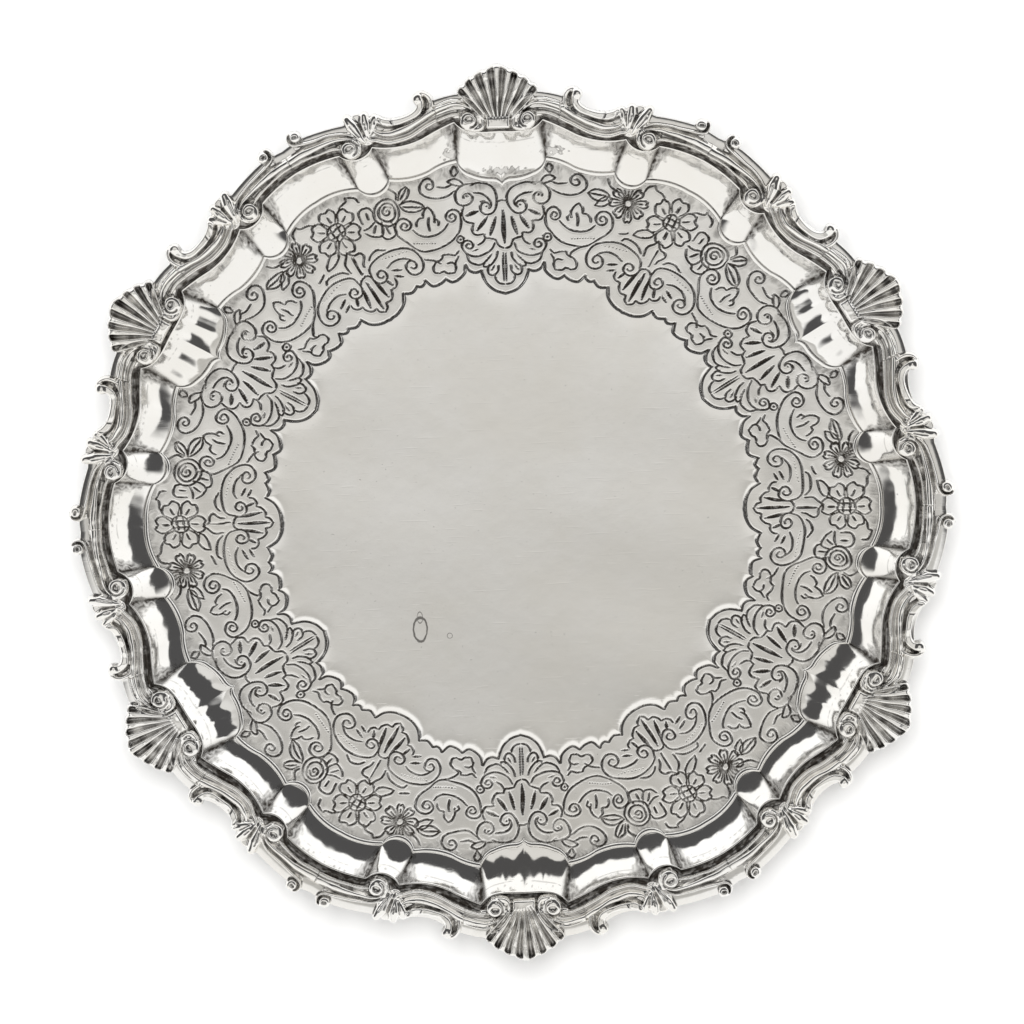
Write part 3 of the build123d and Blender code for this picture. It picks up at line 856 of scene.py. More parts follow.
class Relief:
    """Rises above the flange on a square grid, with the outline that they fill and their patina."""

    def __init__(self, low, high):
        self.xs = np.arange(low[0], high[0], STEP)
        self.ys = np.arange(low[1], high[1], STEP)
        grid = np.meshgrid(self.xs, self.ys, indexing="ij")
        self.points = np.stack([axis.ravel() for axis in grid], axis=1)
        self.rise = np.zeros(len(self.points))
        self.stain = np.zeros(len(self.points))
        self.outline = np.full(len(self.points), 9.0)      # distance outside the casting, negative inside

    def put(self, near, gap, rise):
        """Raises the points to a rise wherever the gap is negative."""
        self.outline[near] = np.minimum(self.outline[near], gap)
        self.rise[near] = np.where(gap < 0, np.maximum(self.rise[near], rise), self.rise[near])

    def strand(self, points, widths, rise, base=0.45):
        """A rounded strand along a line, lower where narrower; half widths are even along it, or one."""
        line = smooth_line(points)
        near = window(self.points, line, np.max(widths) + 1)
        gap, along = nearest(self.points[near], line)
        half = np.interp(along, np.linspace(0, 1, np.size(widths)), np.atleast_1d(widths))
        crown = np.sqrt(np.clip(1 - (gap / half) ** 2, 0, 1))
        height = rise * (half / np.max(widths)) ** 0.4
        self.put(near, gap - half, height * (base + (1 - base) * crown))

    def pillow(self, points, reach, base, rise):
        """A body inside a closed outline, rounded over the given reach from its edge."""
        line = closed_line(points)
        near = window(self.points, line, 1)
        gap = nearest(self.points[near], line)[0] * np.where(enclosed(self.points[near], line), -1, 1)
        crown = np.sqrt(1 - (1 - np.clip(-gap / reach, 0, 1)) ** 2)
        self.put(near, gap, base + (rise - base) * crown)

    def plate(self, points, half, rise):
        """The low ground under and between strands."""
        line = smooth_line(points)
        near = window(self.points, line, half + 1)
        gap = nearest(self.points[near], line)[0]
        self.put(near, gap - half, np.full(len(near), float(rise)))

    def dome(self, centre, radius, base, rise):
        """A round boss with a domed top."""
        near = window(self.points, np.array([centre]), radius + 1)
        gap = np.hypot(*(self.points[near] - centre).T)
        crown = np.sqrt(np.clip(1 - (gap / radius) ** 2, 0, 1))
        self.put(near, gap - radius, base + (rise - base) * crown)

    def carve(self, points, half, depth, stain=0.9):
        """A groove cut along a line, with patina in it."""
        line = smooth_line(points)
        near = window(self.points, line, half)
        gap = nearest(self.points[near], line)[0]
        bowl = np.clip(1 - (gap / half) ** 2, 0, 1)
        self.rise[near] -= depth * bowl ** 0.8
        self.stain[near] = np.maximum(self.stain[near], stain * bowl ** 0.6)

    def shaped(self, seam_gap):
        """The grids of rise, outline and patina, once softened, with the seam's gap taken off."""
        shape = (len(self.xs), len(self.ys))
        rise = blurred(self.rise.reshape(shape), 0.6)
        outline = blurred(self.outline.reshape(shape), 0.6)
        cavity = blurred(rise, CAVITY_REACH) - rise
        dark = np.maximum(0.85 * eased(cavity, 0.32, 0.85), blurred(self.stain.reshape(shape), 0.6))
        rim = np.maximum(outline, seam_gap.reshape(shape))
        roll = np.sqrt(1 - (1 - np.clip(-outline / EDGE_ROLL, 0, 1)) ** 2)
        seam = np.clip(-seam_gap.reshape(shape) / SEAM_ROLL, 0, 1) ** 0.5
        return rise * (0.3 + 0.7 * roll) * (0.8 + 0.2 * seam), rim, dark


def largest_patch(kept):
    """The biggest patch of cells that touch side to side, without cells that only meet at corners."""
    for _ in range(6):
        a, b, c, d = kept[:-1, :-1], kept[1:, :-1], kept[:-1, 1:], kept[1:, 1:]
        corner = (a & d & ~b & ~c) | (b & c & ~a & ~d)
        if not corner.any():
            break
        for part in (kept[:-1, :-1], kept[1:, :-1], kept[:-1, 1:], kept[1:, 1:]):
            part |= corner
    labels = np.where(kept, np.arange(kept.size).reshape(kept.shape) + 1, 0)
    while True:
        spread = labels.copy()
        for axis in (0, 1):
            for way in (1, -1):
                moved = np.roll(labels, way, axis)
                edge = [slice(None)] * 2
                edge[axis] = 0 if way == 1 else -1
                moved[tuple(edge)] = 0
                spread = np.maximum(spread, moved)
        spread = np.where(kept, spread, 0)
        if np.array_equal(spread, labels):
            break
        labels = spread
    names, sizes = np.unique(labels[labels > 0], return_counts=True)
    return labels == names[np.argmax(sizes)]


def relief_solid(relief, seam_gap):
    """Points, faces and patina of a casting: its relief above, a flat underside and upright edges."""
    rise, rim, dark = relief.shaped(seam_gap)
    middle_rim = (rim[:-1, :-1] + rim[1:, :-1] + rim[:-1, 1:] + rim[1:, 1:]) / 4
    kept = largest_patch(middle_rim < 0)
    inside = np.zeros(rim.shape, bool)
    whole = np.ones(rim.shape, bool)
    for i in (0, 1):
        for j in (0, 1):
            part = (slice(i, i + kept.shape[0]), slice(j, j + kept.shape[1]))
            inside[part] |= kept
    padded = np.pad(kept, 1)
    for i in (0, 1):
        for j in (0, 1):
            whole &= padded[i:i + rim.shape[0], j:j + rim.shape[1]]
    border = inside & ~whole
    slope = np.stack(np.gradient(rim, STEP), axis=-1)
    size = np.maximum((slope ** 2).sum(axis=-1), 0.2)
    shift = -(rim / size)[..., None] * slope
    length = np.maximum(np.hypot(shift[..., 0], shift[..., 1]), 1e-9)
    shift *= np.minimum(1, 0.62 * STEP / length)[..., None]
    flat = np.stack(np.meshgrid(relief.xs, relief.ys, indexing="ij"), axis=-1)
    flat = np.where(border[..., None], flat + shift, flat)
    number = np.full(rim.shape, -1)
    number[inside] = np.arange(inside.sum())
    count = int(inside.sum())
    top = np.column_stack([flat[inside], FLANGE_TOP + np.maximum(rise[inside], 0.15)])
    bottom = np.column_stack([flat[inside], np.full(count, CASTING_BOTTOM)])
    a, b = number[:-1, :-1][kept], number[1:, :-1][kept]
    c, d = number[1:, 1:][kept], number[:-1, 1:][kept]
    cells = np.stack([a, b, c, d], axis=1)
    sides = []
    for axis in (0, 1):
        fence = np.pad(kept, [(1, 1), (0, 0)] if axis == 0 else [(0, 0), (1, 1)])
        change = np.diff(fence.astype(int), axis=axis)
        for way in (1, -1):
            i, j = np.nonzero(change == way)
            if axis == 0:
                near, far = number[i, j], number[i, j + 1]
            else:
                near, far = number[i, j], number[i + 1, j]
            if (way == 1) == (axis == 0):
                near, far = far, near
            sides.append(np.stack([near, near + count, far + count, far], axis=1))
    faces = [cells, cells[:, ::-1] + count] + sides
    values = np.concatenate([dark[inside], np.full(count, 0.15)])
    return np.vstack([top, bottom]), np.vstack(faces), values


SHELL_ROOT = np.array([0, 131.0])
# The shell's scalloped edge: degrees from its axis, and distance from its root.
SHELL_EDGE = [(0, 23.0), (3.0, 22.8), (6.0, 22.4), (9.5, 21.8), (11.6, 21.5), (14.5, 21.8), (18.0, 21.6),
              (23.2, 20.8), (27.0, 21.2), (31.0, 20.8), (34.8, 20.2), (38.5, 20.6), (42.5, 20.3), (46.0, 18.8)]
FLUTE_SPREAD = 11.6          # degrees from flute to flute; the first rib stands on the shell's axis
RIB_SHARE = 0.42             # of that spread is rib
STRIPE_TONES = (0.6, 0.12, 0.5, 0.15)       # how dark the paler stripe down one flank of each flute is painted, from the middle out
SHELL_RISE = 3.3


def fan(relief):
    """The fluted fan of a shell: hollow flutes between rounded ribs, which end inside a raised lip."""
    offset = relief.points - SHELL_ROOT
    reach = np.hypot(*offset.T)
    angle = np.degrees(np.arctan2(offset[:, 0], offset[:, 1]))
    edge = np.interp(angle, *np.array(SHELL_EDGE).T)
    gap = np.maximum(np.maximum(reach - edge, (angle - 46) * reach / 57.3), 4.2 - reach)
    share = np.abs(angle % FLUTE_SPREAD - FLUTE_SPREAD / 2) / (FLUTE_SPREAD / 2)
    inward = edge - reach
    hollow = (1 - np.clip(share / (1 - RIB_SHARE), 0, 1) ** 2.6) * eased(inward, 0.5, 1.3)
    depth = np.interp(reach, [4, 8, 14, 21], [0.5, 1.1, 1.7, 2.1])
    crest = SHELL_RISE * np.interp(reach, [4, 10, 19, 23], [0.72, 0.95, 1.05, 0.98])
    crest -= 1.0 * np.clip(1 - inward / 1.1, 0, 1) ** 1.6
    near = np.flatnonzero(gap < 1)
    relief.put(near, gap[near], (crest - depth * hollow)[near])
    # Each flute's hollow is painted darker, with a paler stripe down one flank, the same on every shell.
    blind_end = eased(-inward, -3.4, -1.8)
    flute = np.clip(angle // FLUTE_SPREAD, 0, 3).astype(int)
    across = (angle % FLUTE_SPREAD) / FLUTE_SPREAD
    stripe = np.exp(-((across - 0.62) / 0.16) ** 2) * (1 - blind_end)
    tone = 0.8 * (1 - stripe) + np.take(STRIPE_TONES, flute) * stripe
    relief.stain = np.where(gap < 0, eased(hollow, 0.25, 0.6) * tone, relief.stain)


def root_pad(relief):
    """The small level pad between the volutes, where the flutes meet."""
    near = np.arange(len(relief.points))
    x, y = relief.points.T
    gap = np.hypot(np.maximum(x - 3.2, 0), np.maximum(np.abs(y - 134.4) - 1.2, 0)) - 1.0
    relief.put(near, gap, 1.6 + 1.4 * np.sqrt(np.clip(-gap / 1.2, 0, 1)))


def shell_volute(relief):
    """The volute beside the pad, with the moulding's strands that wind into it."""
    relief.plate([(7.0, 136.2), (7.2, 134.2), (8.4, 132.9), (10.4, 132.6)], 1.1, 2.3)
    relief.strand([(13.0, 144.3), (10.4, 143.3), (7.8, 141.6), (5.9, 139.3), (4.7, 136.6)],
                  [0.35, 0.65, 0.75, 0.6, 0.35], 3.2)
    relief.strand([(23.5, 139.4), (18, 141.6), (14.5, 142.2), (11, 141.8), (8.2, 140.2), (6.3, 137.8),
                   (5.2, 135.4), (5.2, 133.6), (6.2, 132.5), (8.2, 132.1), (10.2, 132.4), (11.6, 133.4)],
                  [0.35, 0.45, 0.5, 0.55, 0.6, 0.65, 0.7, 0.8, 1.0, 1.05, 0.9, 0.6], 2.6)
    relief.strand([(24, 137.6), (20.7, 139.3), (17.5, 140.4), (15, 140.9), (12.4, 140.7), (10, 139.8),
                   (8.2, 138.4), (6.9, 136.6), (6.6, 135.0), (7.0, 133.8)],
                  [1.1, 1.1, 1.05, 1.0, 0.9, 0.7, 0.6, 0.55, 0.5, 0.4], 2.4)
    relief.strand([(24, 133.8), (20.4, 135.6), (17.5, 136.8), (15, 137.35), (13.2, 137.3)],
                  [0.65, 0.65, 0.65, 0.65, 0.5], 2.2)
    relief.carve([(24, 135.0), (20.6, 136.7), (17.8, 137.8), (15.2, 138.3), (12.6, 138.4)], 0.7, 0.4, 0.4)
    relief.dome((9.9, 135.1), 3.05, 2.6, 3.5)
    relief.carve([(13.4, 138.2), (10.6, 138.5), (8.4, 137.6), (7.25, 136.0), (7.3, 134.4), (8.2, 133.3),
                  (9.2, 133.0)], 0.3, 0.9)
    relief.carve([(9.4, 135.5), (10.2, 135.5)], 0.85, 1.0, 0.3)
    relief.carve([(8.6, 135.3), (9.0, 136.3), (10.2, 136.5), (11.0, 135.6)], 0.33, 0.7)
    relief.carve([(4.45, 137.4), (4.2, 135.2), (4.3, 133.0)], 0.22, 0.9)


def shell_relief():
    """The canonical shell casting, worked out on its right side and mirrored."""
    relief = Relief((-24, 128), (24.01, 156))
    plain = relief.points.copy()
    relief.points = np.abs(relief.points * (1, 0)) + relief.points * (0, 1)
    relief.plate([(0, 138.4), (6, 138.4), (11, 138.8), (14, 139.2)], 3.1, 0.7)
    relief.plate([(13.0, 139.3), (17, 138.7), (23, 136.2)], 2.3, 0.9)
    fan(relief)
    root_pad(relief)
    shell_volute(relief)
    relief.points = plain
    lean = radians(SEAM_ANGLE)
    seam_gap = np.abs(plain[:, 0]) * cos(lean) - plain[:, 1] * sin(lean) + SEAM_GAP
    return relief, seam_gap


HOOK_BODY = [
    (24.9, 143.2), (25.2, 144.6), (26.6, 145.3), (28.1, 144.6), (28.7, 143.0), (28.2, 141.7), (27.6, 140.7),
    (28.2, 139.5), (30, 138.2), (33, 137.2), (36, 136.8), (38.4, 137.2), (40.4, 138.1), (41.2, 136.8),
    (40.6, 135.4), (37.6, 134.1), (34, 134.3), (31, 135.2), (28, 136.4), (25.8, 138.0), (24.9, 140.0),
    (24.7, 141.8),
]


def hook(relief):
    """The small scroll on the outer side of the S: a ridge, then a fat body that runs into a crescent."""
    relief.strand([(22.6, 138.4), (22.4, 140.6), (22.8, 142.8), (23.9, 144.3), (25.4, 145.1), (27.0, 145.1)],
                  [0.5, 0.85, 0.95, 0.9, 0.8, 0.5], 2.8)
    relief.pillow(HOOK_BODY, 0.8, 1.9, 3.0)
    relief.dome((26.9, 143.2), 1.9, 2.4, 3.5)
    relief.carve([(25.4, 144.0), (24.4, 142.6), (24.1, 140.8), (24.4, 139.0), (25.6, 137.3), (28.0, 135.8),
                  (31.0, 134.6), (34.4, 133.7), (37.8, 133.5), (40.4, 134.6)], 0.26, 0.9, 0.85)
    relief.carve([(23.3, 140.4), (23.4, 141.8), (24.1, 143.1)], 0.16, 0.35, 0.5)
    relief.carve([(27.9, 141.2), (28.5, 140.9)], 0.35, 0.6, 0.6)
    relief.carve([(35.2, 134.2), (36.2, 136.4)], 0.35, 0.25, 0.45)
    relief.carve([(39.3, 134.6), (40.0, 136.6)], 0.25, 0.45, 0.6)


# In the middle frame: a leaf's line, its half widths and its rise; a slit's line and half width.
LEAVES = [
    ([(-28.0, 135.6), (-30.0, 137.4), (-31.6, 138.8), (-32.6, 139.6)], [0.8, 1.5, 1.8, 1.4], 2.7),
    ([(-27.0, 134.8), (-28.4, 138.2), (-29.4, 140.6), (-30.0, 141.9)], [0.6, 1.5, 2.0, 1.6], 3.1),
    ([(-25.6, 134.4), (-25.0, 138.4), (-24.5, 141.8), (-24.3, 143.9)], [0.7, 1.6, 2.3, 1.7], 3.4),
]
LEAF_SLITS = [
    ([(-28.6, 136.2), (-30.2, 138.4), (-31.0, 139.4)], 0.2),
    ([(-26.6, 136.0), (-27.0, 138.6), (-27.3, 140.6)], 0.28),
    ([(-28.2, 138.0), (-28.9, 140.0)], 0.16),
    ([(-24.9, 137.0), (-24.4, 139.4), (-24.1, 141.8)], 0.2),
]


def scroll_ground(relief):
    """The low ground that ties the strands of a scroll casting together."""
    relief.plate([(18, 138.9), (20.6, 137.6), (25, 135.2), (30, 132.4), (33, 131.2), (37, 131.1), (41, 132.3)],
                 2.4, 0.9)
    relief.plate([(24.2, 139.6), (25.4, 137.4), (28, 135.4), (32, 133.9), (36, 133.4), (40, 134.6)], 1.6, 0.9)
    relief.plate([(23.4, 139.4), (23.6, 142), (24.8, 143.8)], 1.3, 0.9)
    relief.plate(middles((-27.0, 135.5), (-26.8, 141.0)), 3.1, 1.0)
    relief.plate(middles((-28.8, 136.0), (-31.2, 139.0)), 1.9, 0.9)
    relief.plate(middles((-21.5, 136.5), (-15, 139.4), (-8.6, 141.2), (1, 141.7)), 2.3, 0.9)
    relief.plate(middles((-23.4, 138.5), (-20.3, 140.2), (-15, 142.2), (-8.6, 143.6), (-4.6, 144.5)), 1.0, 0.9)


def s_moulding(relief):
    """The two beads of the S, with the hollow between them."""
    relief.strand([(18, 136.8), (20.4, 135.6), (25, 133.2), (30, 130.3), (35, 128.8), (38, 128.7)]
                  + middles((-29.2, 132.6), (-27.5, 134.0), (-26.9, 135.8)), 0.72, 2.3)
    relief.strand([(18, 140.3), (20.7, 139.2), (25, 136.8), (30, 133.9), (35, 131.9), (38, 131.7)]
                  + middles((-31.0, 134.6), (-30.0, 136.4)), [1.05, 1.1, 1.15, 1.2, 1.25, 1.2, 1.0, 0.5], 2.5)
    relief.strand([(18, 141.6), (22, 140.2), (24, 138.9)], [0.4, 0.4, 0.3], 2.1)
    relief.carve([(18, 137.9), (20.8, 136.7), (25, 134.4), (30, 131.5), (35, 129.9), (38.4, 129.9)]
                 + middles((-29.4, 134.0)), 0.55, 0.3, 0.35)


def leaf_fan(relief):
    """The three leaves that cover the meeting of the S and the C."""
    for points, widths, rise in LEAVES:
        relief.strand(middles(*points), widths, rise, 0.4)
    for points, half in LEAF_SLITS:
        relief.carve(middles(*points), half, 0.6, 0.75)


def c_moulding(relief):
    """The strands of half the C-scroll, the outermost of which leaves it and coils up at the edge."""
    relief.strand(middles((1.5, 141.9), (-5, 141.9), (-10, 141.4), (-15, 140.5), (-19, 139.4), (-21.6, 138.0),
                          (-23.1, 136.1), (-23.3, 134.1), (-22.2, 132.6), (-20.3, 132.0), (-18.4, 132.4)),
                  [1.45, 1.45, 1.4, 1.25, 1.05, 0.85, 0.75, 0.75, 0.85, 0.95, 0.95], 2.5)
    relief.strand(middles((1.5, 140.1), (-4, 140.0), (-8.6, 139.4), (-12.5, 138.5), (-15.3, 137.6),
                          (-16.9, 136.7)), [0.5, 0.5, 0.55, 0.6, 0.6, 0.5], 2.2)
    relief.strand(middles((-24.2, 134.8), (-23.5, 137.6), (-20.8, 140.6), (-16, 142.6), (-12, 143.6),
                          (-8, 144.6), (-5, 145.5), (-3.7, 146.6), (-3.5, 148.2), (-4.3, 149.6), (-6.0, 150.1)),
                  [0.4, 0.5, 0.5, 0.5, 0.5, 0.55, 0.65, 0.7, 0.7, 0.6, 0.35], 2.4)
    relief.carve(middles((1.5, 140.65), (-4, 140.6), (-8.6, 140.0), (-12.5, 139.1)), 0.25, 0.5, 0.8)
    relief.carve(middles((-9.0, 140.1), (-12.5, 139.4), (-15.5, 138.6), (-18.6, 138.0)), 0.6, 0.4, 0.6)
    relief.carve(middles((-2.0, 143.4), (-8, 143.6), (-12, 142.8), (-16, 141.8), (-20.4, 140.0),
                         (-22.8, 137.8)), 0.26, 0.6)


def junction_volute(relief):
    """The volute that starts the C-scroll."""
    relief.plate(middles((-22.9, 136.0), (-22.7, 134.0), (-21.5, 132.7), (-19.5, 132.4)), 1.1, 2.3)
    relief.dome(middle(-19.9, 134.7), 3.1, 2.6, 3.5)
    relief.carve(middles((-16.8, 138.1), (-19.4, 138.2), (-21.7, 137.1), (-22.6, 135.4), (-22.3, 134.2)),
                 0.32, 1.0)
    relief.carve(middles((-22.0, 133.8), (-21.2, 133.0), (-20.2, 132.7)), 0.3, 0.6)
    relief.carve(middles((-20.3, 135.0), (-19.5, 135.0)), 0.85, 1.0, 0.3)
    relief.carve(middles((-21.1, 134.9), (-20.6, 135.9), (-19.4, 136.0), (-18.7, 135.1)), 0.33, 0.7)


def outer_coil(relief):
    """The boss in the coil at the flange's edge."""
    relief.dome(middle(-6.4, 147.9), 2.15, 1.9, 3.4)
    relief.carve(middles((-8.2, 146.4), (-6.4, 145.8), (-4.7, 146.6), (-4.3, 148.2), (-4.7, 149.3)), 0.33, 1.1)
    relief.carve(middles((-6.6, 147.9), (-5.9, 148.2)), 0.55, 0.9)


def scroll_relief():
    """The canonical right-hand scroll casting: S, hook, leaves, junction volute and half the C."""
    relief = Relief((17, 116), (76, 152))
    for feature in (scroll_ground, s_moulding, hook, leaf_fan, c_moulding, junction_volute, outer_coil):
        feature(relief)
    lean, far = radians(SEAM_ANGLE), radians(SECTOR_ANGLE / 2)
    x, y = relief.points.T
    seam_gap = np.maximum(y * sin(lean) - x * cos(lean), x * cos(far) - y * sin(far)) + SEAM_GAP
    return relief, seam_gap


def place(name, node, solid, angle, seed, material, mirrored=False):
    """One casting in its place, with the small unevenness of its own of a hand-finished piece."""
    points, faces, dark = solid
    points = points.copy()
    flat = points[:, :2] * ((-1, 1) if mirrored else (1, 1))
    wander = [Waves(seed + axis, 11.0) for axis in (0, 1)]
    ends = eased(np.hypot(*flat.T), 126, 140)[:, None]
    flat = flat + 0.12 * ends * np.stack([wave.at(flat) for wave in wander], axis=1)
    above = np.clip(points[:, 2] - FLANGE_TOP - 0.4, 0, 1)
    points[:, 2] += 0.10 * Waves(seed + 2, 5.0).at(flat) * above
    points[:, :2] = settled(turned(flat, angle))
    dark = dark * (0.85 + 0.25 * Waves(seed + 3, 6.0).at(flat))
    piece = make_piece(name, points, [faces[:, ::-1] if mirrored else faces], material, {"patina": dark})
    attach(piece, "root")
    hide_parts(node)
    return piece


def build_border(material):
    """Six shells and the twelve scroll castings between them."""
    shell = relief_solid(*shell_relief())
    scroll = relief_solid(*scroll_relief())
    for number in range(1, SECTORS + 1):
        angle = SECTOR_ANGLE * (number - 1)
        seed = 10 * number
        place(f"shell_{number}", f"shell_casting_{number}", shell, angle, 1000 + seed, material)
        for seed_start, side in ((2000, "right"), (3000, "left")):
            place(f"scroll_{number}_{side}", f"scroll_casting_{number}_{side}", scroll, angle,
                  seed_start + seed, material, side == "left")


# ---------------------------------------------------------------- silver

class Nodes:
    """A short way to add and join shader nodes."""

    def __init__(self, tree):
        self.tree = tree
        tree.nodes.clear()

    def add(self, kind, **settings):
        node = self.tree.nodes.new(kind)
        for name, value in settings.items():
            if name in node.inputs:
                node.inputs[name].default_value = value
            else:
                setattr(node, name, value)
        return node

    def join(self, source, node, socket):
        self.tree.links.new(source, node.inputs[socket])

    def math(self, operation, first, second=None, clamp=False):
        """A Math node on sockets or numbers; returns its output."""
        node = self.add("ShaderNodeMath", operation=operation, use_clamp=clamp)
        for index, value in enumerate((first, second)):
            if isinstance(value, (int, float)):
                node.inputs[index].default_value = value
            elif value is not None:
                self.tree.links.new(value, node.inputs[index])
        return node.outputs[0]

    def step(self, value, low, high, out_low=0.0, out_high=1.0):
        """A smooth step of a socket from one range to another."""
        node = self.add("ShaderNodeMapRange", interpolation_type="SMOOTHSTEP")
        self.tree.links.new(value, node.inputs["Value"])
        ends = {"From Min": low, "From Max": high, "To Min": out_low, "To Max": out_high}
        for name, number in ends.items():
            node.inputs[name].default_value = number
        return node.outputs["Result"]

    def noise(self, place, scale, detail=3.0, roughness=0.5):
        node = self.add("ShaderNodeTexNoise", Scale=scale, Detail=detail, Roughness=roughness)
        self.join(place, node, "Vector")
        return node.outputs["Fac"]


def scratches(nodes, place, angle, scale, low, high):
    """Fine hairlines at one heading: stretched noise, kept only where it peaks."""
    mapping = nodes.add("ShaderNodeMapping", Rotation=(0, 0, angle), Scale=(1, 14, 1))
    nodes.join(place, mapping, "Vector")
    return nodes.step(nodes.noise(mapping.outputs["Vector"], scale, 2.0), low, high)


# Old water marks on the floor: centre and half sizes in millimetres, and the strength of the outline.
WATER_MARKS = [
    ((-33.0, -38.6), (2.4, 4.0), 0.8), ((-33.0, -34.4), (0.9, 1.9), 0.7), ((-23.0, -41.0), (0.9, 0.9), 0.7),
]


def water_mark(nodes, place, centre, size, strength):
    """The thin dark outline of a dried drop."""
    mapping = nodes.add("ShaderNodeMapping", vector_type="TEXTURE",
                        Location=(centre[0] * MM, centre[1] * MM, 0),
                        Scale=(size[0] * MM, size[1] * MM, 1000.0))
    nodes.join(place, mapping, "Vector")
    length = nodes.add("ShaderNodeVectorMath", operation="LENGTH")
    nodes.join(mapping.outputs["Vector"], length, 0)
    wander = nodes.math("MULTIPLY", nodes.math("SUBTRACT", nodes.noise(place, 300), 0.5), 0.5)
    reach = nodes.math("ADD", length.outputs["Value"], wander)
    gap = nodes.math("ABSOLUTE", nodes.math("SUBTRACT", reach, 1.0))
    return nodes.step(gap, 0.07, 0.17, strength, 0.0)


def silver(name, tone, roughness, speckle, marks=()):
    """Polished silver with hairlines, a little cloudiness and dark patina in its hollows; in the tray's crevice
    by the lip that dark is also painted shade.
    """
    material = bpy.data.materials.new(name)
    material.use_nodes = True
    nodes = Nodes(material.node_tree)
    output = nodes.add("ShaderNodeOutputMaterial")
    shader = nodes.add("ShaderNodeBsdfPrincipled")
    nodes.join(shader.outputs["BSDF"], output, "Surface")
    place = nodes.add("ShaderNodeTexCoord").outputs["Object"]

    patina = nodes.add("ShaderNodeAttribute", attribute_name="patina").outputs["Fac"]
    grain = nodes.noise(place, 420, 4.0, 0.65)
    spots = nodes.step(nodes.noise(place, 900, 3.0, 0.7), 0.68, 0.76, 0.0, speckle)
    broken = nodes.math("MULTIPLY", patina, nodes.step(grain, 0.25, 0.62, 0.55, 1.1))
    dark = nodes.math("MAXIMUM", broken, spots, clamp=True)
    for centre, size, strength in marks:
        dark = nodes.math("MAXIMUM", dark, water_mark(nodes, place, centre, size, strength))

    clouds = nodes.noise(place, 26, 5.0, 0.6)
    tarnish = nodes.step(clouds, 0.3, 0.75, 0.0, 1.0)
    clean = nodes.add("ShaderNodeMix", data_type="RGBA")
    clean.inputs["A"].default_value = (tone, tone * 0.99, tone * 0.972, 1)
    clean.inputs["B"].default_value = (tone * 0.955, tone * 0.935, tone * 0.895, 1)
    nodes.join(tarnish, clean, "Factor")
    mix = nodes.add("ShaderNodeMix", data_type="RGBA")
    nodes.join(dark, mix, "Factor")
    nodes.join(clean.outputs["Result"], mix, "A")
    mix.inputs["B"].default_value = (0.055, 0.047, 0.040, 1)
    nodes.join(mix.outputs["Result"], shader, "Base Color")

    shader.inputs["Metallic"].default_value = 1.0
    rough = nodes.math("ADD", nodes.step(clouds, 0.3, 0.7, roughness * 0.8, roughness * 1.3),
                       nodes.math("MULTIPLY", dark, 0.32))
    nodes.join(rough, shader, "Roughness")

    lines = nodes.math("ADD", scratches(nodes, place, 0.5, 60, 0.66, 0.74),
                       scratches(nodes, place, 2.1, 75, 0.67, 0.75))
    lines = nodes.math("ADD", lines, scratches(nodes, place, 1.2, 110, 0.68, 0.76))
    bump = nodes.add("ShaderNodeBump", Strength=0.12, Distance=0.00004)
    nodes.join(lines, bump, "Height")
    wavy = nodes.add("ShaderNodeBump", Strength=0.35, Distance=0.0001)
    nodes.join(nodes.noise(place, 160, 3.0), wavy, "Height")
    nodes.join(bump.outputs["Normal"], wavy, "Normal")
    nodes.join(wavy.outputs["Normal"], shader, "Normal")
    return material


# ---------------------------------------------------------------- studio

GAP_ANGLES = (62, 66)        # degrees from straight above, where the dark gap fades out
PANEL_ANGLES = (15, 20)      # the same of the grey panel overhead


def build_world():
    """A white tent with a grey panel overhead and a dark gap beside it, as in a product studio."""
    world = bpy.data.worlds.new("studio")
    bpy.context.scene.world = world
    world.use_nodes = True
    nodes = Nodes(world.node_tree)
    output = nodes.add("ShaderNodeOutputWorld")
    background = nodes.add("ShaderNodeBackground")
    nodes.join(background.outputs["Background"], output, "Surface")
    heading = nodes.add("ShaderNodeTexCoord").outputs["Generated"]
    parts = nodes.add("ShaderNodeSeparateXYZ")
    nodes.join(heading, parts, "Vector")
    x, y, z = (parts.outputs[axis] for axis in "XYZ")
    ragged = nodes.math("MULTIPLY", nodes.math("SUBTRACT", nodes.noise(heading, 5, 5.0, 0.65), 0.5), 0.10)
    lean = nodes.math("ADD", z, ragged)
    flat = nodes.math("SQRT", nodes.math("ADD", nodes.math("MULTIPLY", x, x), nodes.math("MULTIPLY", y, y)))
    side = nodes.math("DIVIDE", y, nodes.math("MAXIMUM", flat, 0.0001))
    high = nodes.step(lean, cos(radians(GAP_ANGLES[1])), cos(radians(GAP_ANGLES[0])))
    gap = nodes.math("MULTIPLY", high, nodes.step(side, -0.7, -0.3))
    overhead = nodes.step(z, cos(radians(PANEL_ANGLES[1])), cos(radians(PANEL_ANGLES[0])))
    tent = nodes.add("ShaderNodeMix", data_type="RGBA")
    nodes.join(nodes.step(y, -0.7, 0.6), tent, "Factor")
    tent.inputs["A"].default_value = (0.98, 0.972, 0.95, 1)
    tent.inputs["B"].default_value = (1.16, 1.16, 1.15, 1)
    light = nodes.add("ShaderNodeMix", data_type="RGBA")
    nodes.join(tent.outputs["Result"], light, "A")
    light.inputs["B"].default_value = (0.08, 0.079, 0.08, 1)
    nodes.join(gap, light, "Factor")
    ceiling = nodes.add("ShaderNodeMix", data_type="RGBA")
    nodes.join(overhead, ceiling, "Factor")
    nodes.join(light.outputs["Result"], ceiling, "A")
    panel = nodes.add("ShaderNodeMix", data_type="RGBA")
    nodes.join(nodes.step(y, -0.26, -0.04), panel, "Factor")
    panel.inputs["A"].default_value = (0.50, 0.49, 0.465, 1)
    panel.inputs["B"].default_value = (0.775, 0.765, 0.74, 1)
    nodes.join(panel.outputs["Result"], ceiling, "B")
    nodes.join(ceiling.outputs["Result"], background, "Color")


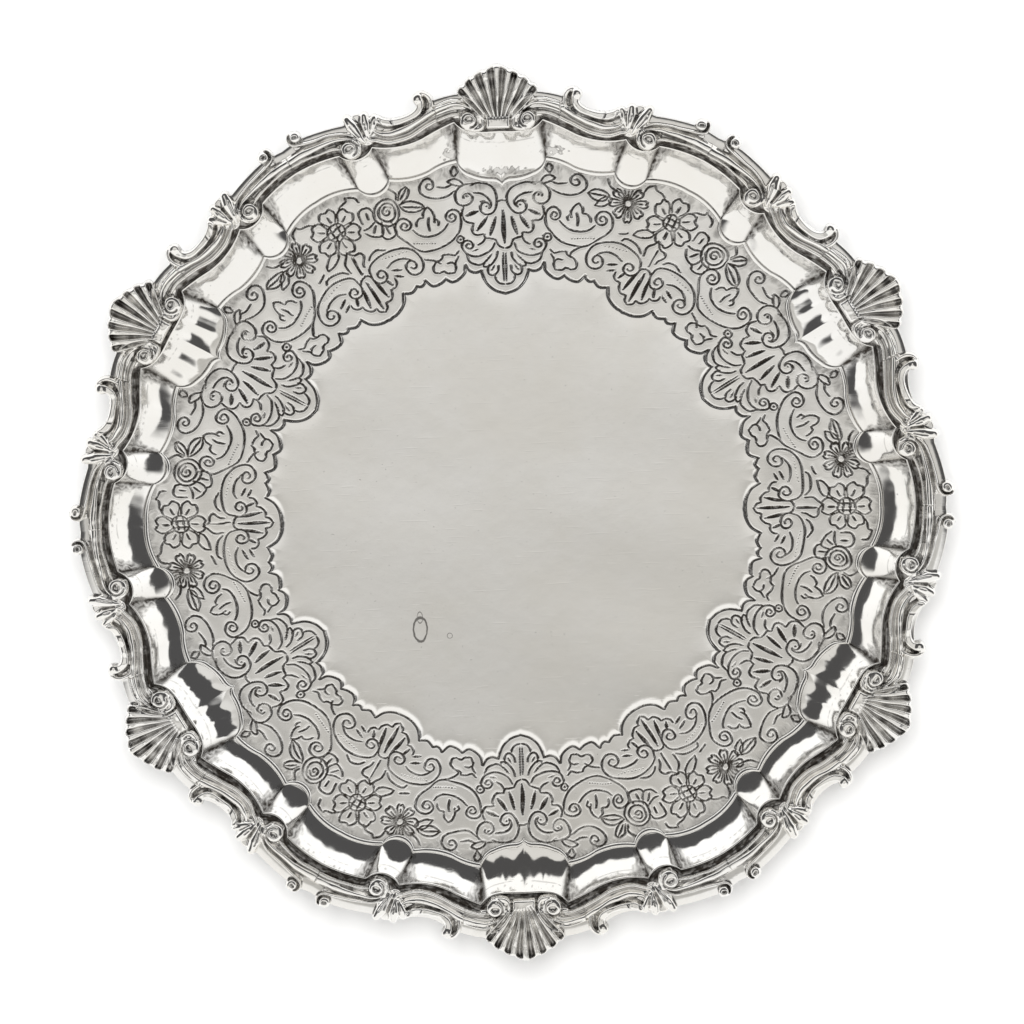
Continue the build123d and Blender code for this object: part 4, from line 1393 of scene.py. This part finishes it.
def build_floor():
    """The plain white table."""
    material = bpy.data.materials.new("floor_white")
    material.use_nodes = True
    material.node_tree.nodes["Principled BSDF"].inputs["Base Color"].default_value = (0.93, 0.93, 0.93, 1)
    material.node_tree.nodes["Principled BSDF"].inputs["Roughness"].default_value = 0.9
    half = 3.0
    corners = [(-half, -half, 0), (half, -half, 0), (half, half, 0), (-half, half, 0)]
    mesh = bpy.data.meshes.new("floor")
    mesh.from_pydata(corners, [], [(0, 1, 2, 3)])
    mesh.materials.append(material)
    floor = bpy.data.objects.new("floor", mesh)
    bpy.context.scene.collection.objects.link(floor)


CAMERA_TILT = 8.6            # from straight above, towards +Y
CAMERA_BEARING = 9.8         # of that tilt, clockwise from +Y
CAMERA_ROLL = 1.89
CAMERA_DISTANCE = 1941
CAMERA_LENS = 201.5
AIM = (-0.07, 2.59, FLANGE_TOP)       # the middle of the picture


def build_camera():
    """A long lens nearly straight above the salver."""
    tilt, bearing, roll = (radians(v) for v in (CAMERA_TILT, CAMERA_BEARING, CAMERA_ROLL))
    away = Vector((sin(tilt) * sin(bearing), sin(tilt) * cos(bearing), cos(tilt)))
    across = (-away).cross(Vector((sin(roll), cos(roll), 0))).normalized()
    camera = bpy.data.cameras.new("camera")
    camera.lens = CAMERA_LENS
    camera.clip_end = 20
    holder = bpy.data.objects.new("camera", camera)
    bpy.context.scene.collection.objects.link(holder)
    turn = Matrix((across, away.cross(across), away)).transposed()
    holder.matrix_world = Matrix.Translation((Vector(AIM) + away * CAMERA_DISTANCE) * MM) @ turn.to_4x4()
    bpy.context.scene.camera = holder


def build_light():
    """A soft lamp high behind the camera, which the metal doesn't mirror: it whitens the table."""
    lamp = bpy.data.lights.new("soft_lamp", "AREA")
    lamp.energy = 75
    lamp.size = 1.3
    holder = bpy.data.objects.new("soft_lamp", lamp)
    bpy.context.scene.collection.objects.link(holder)
    holder.visible_glossy = False
    holder.location = (0.0, 0.9, 3.0)
    holder.rotation_euler = (Vector((0, 0, 0)) - holder.location).to_track_quat("-Z", "Y").to_euler()


polished = silver("polished_silver", 0.93, 0.09, 0.5, WATER_MARKS)
cast = silver("cast_silver", 0.95, 0.11, 0.6)
tray = build_tray(polished)
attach(tray, "root")
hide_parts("tray")
build_border(cast)
for name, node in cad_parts.items():
    if name.startswith("scroll_foot"):
        node.data.materials.clear()
        node.data.materials.append(cast)

build_world()
build_floor()
build_light()
build_camera()
bpy.context.scene.view_settings.view_transform = "Standard"
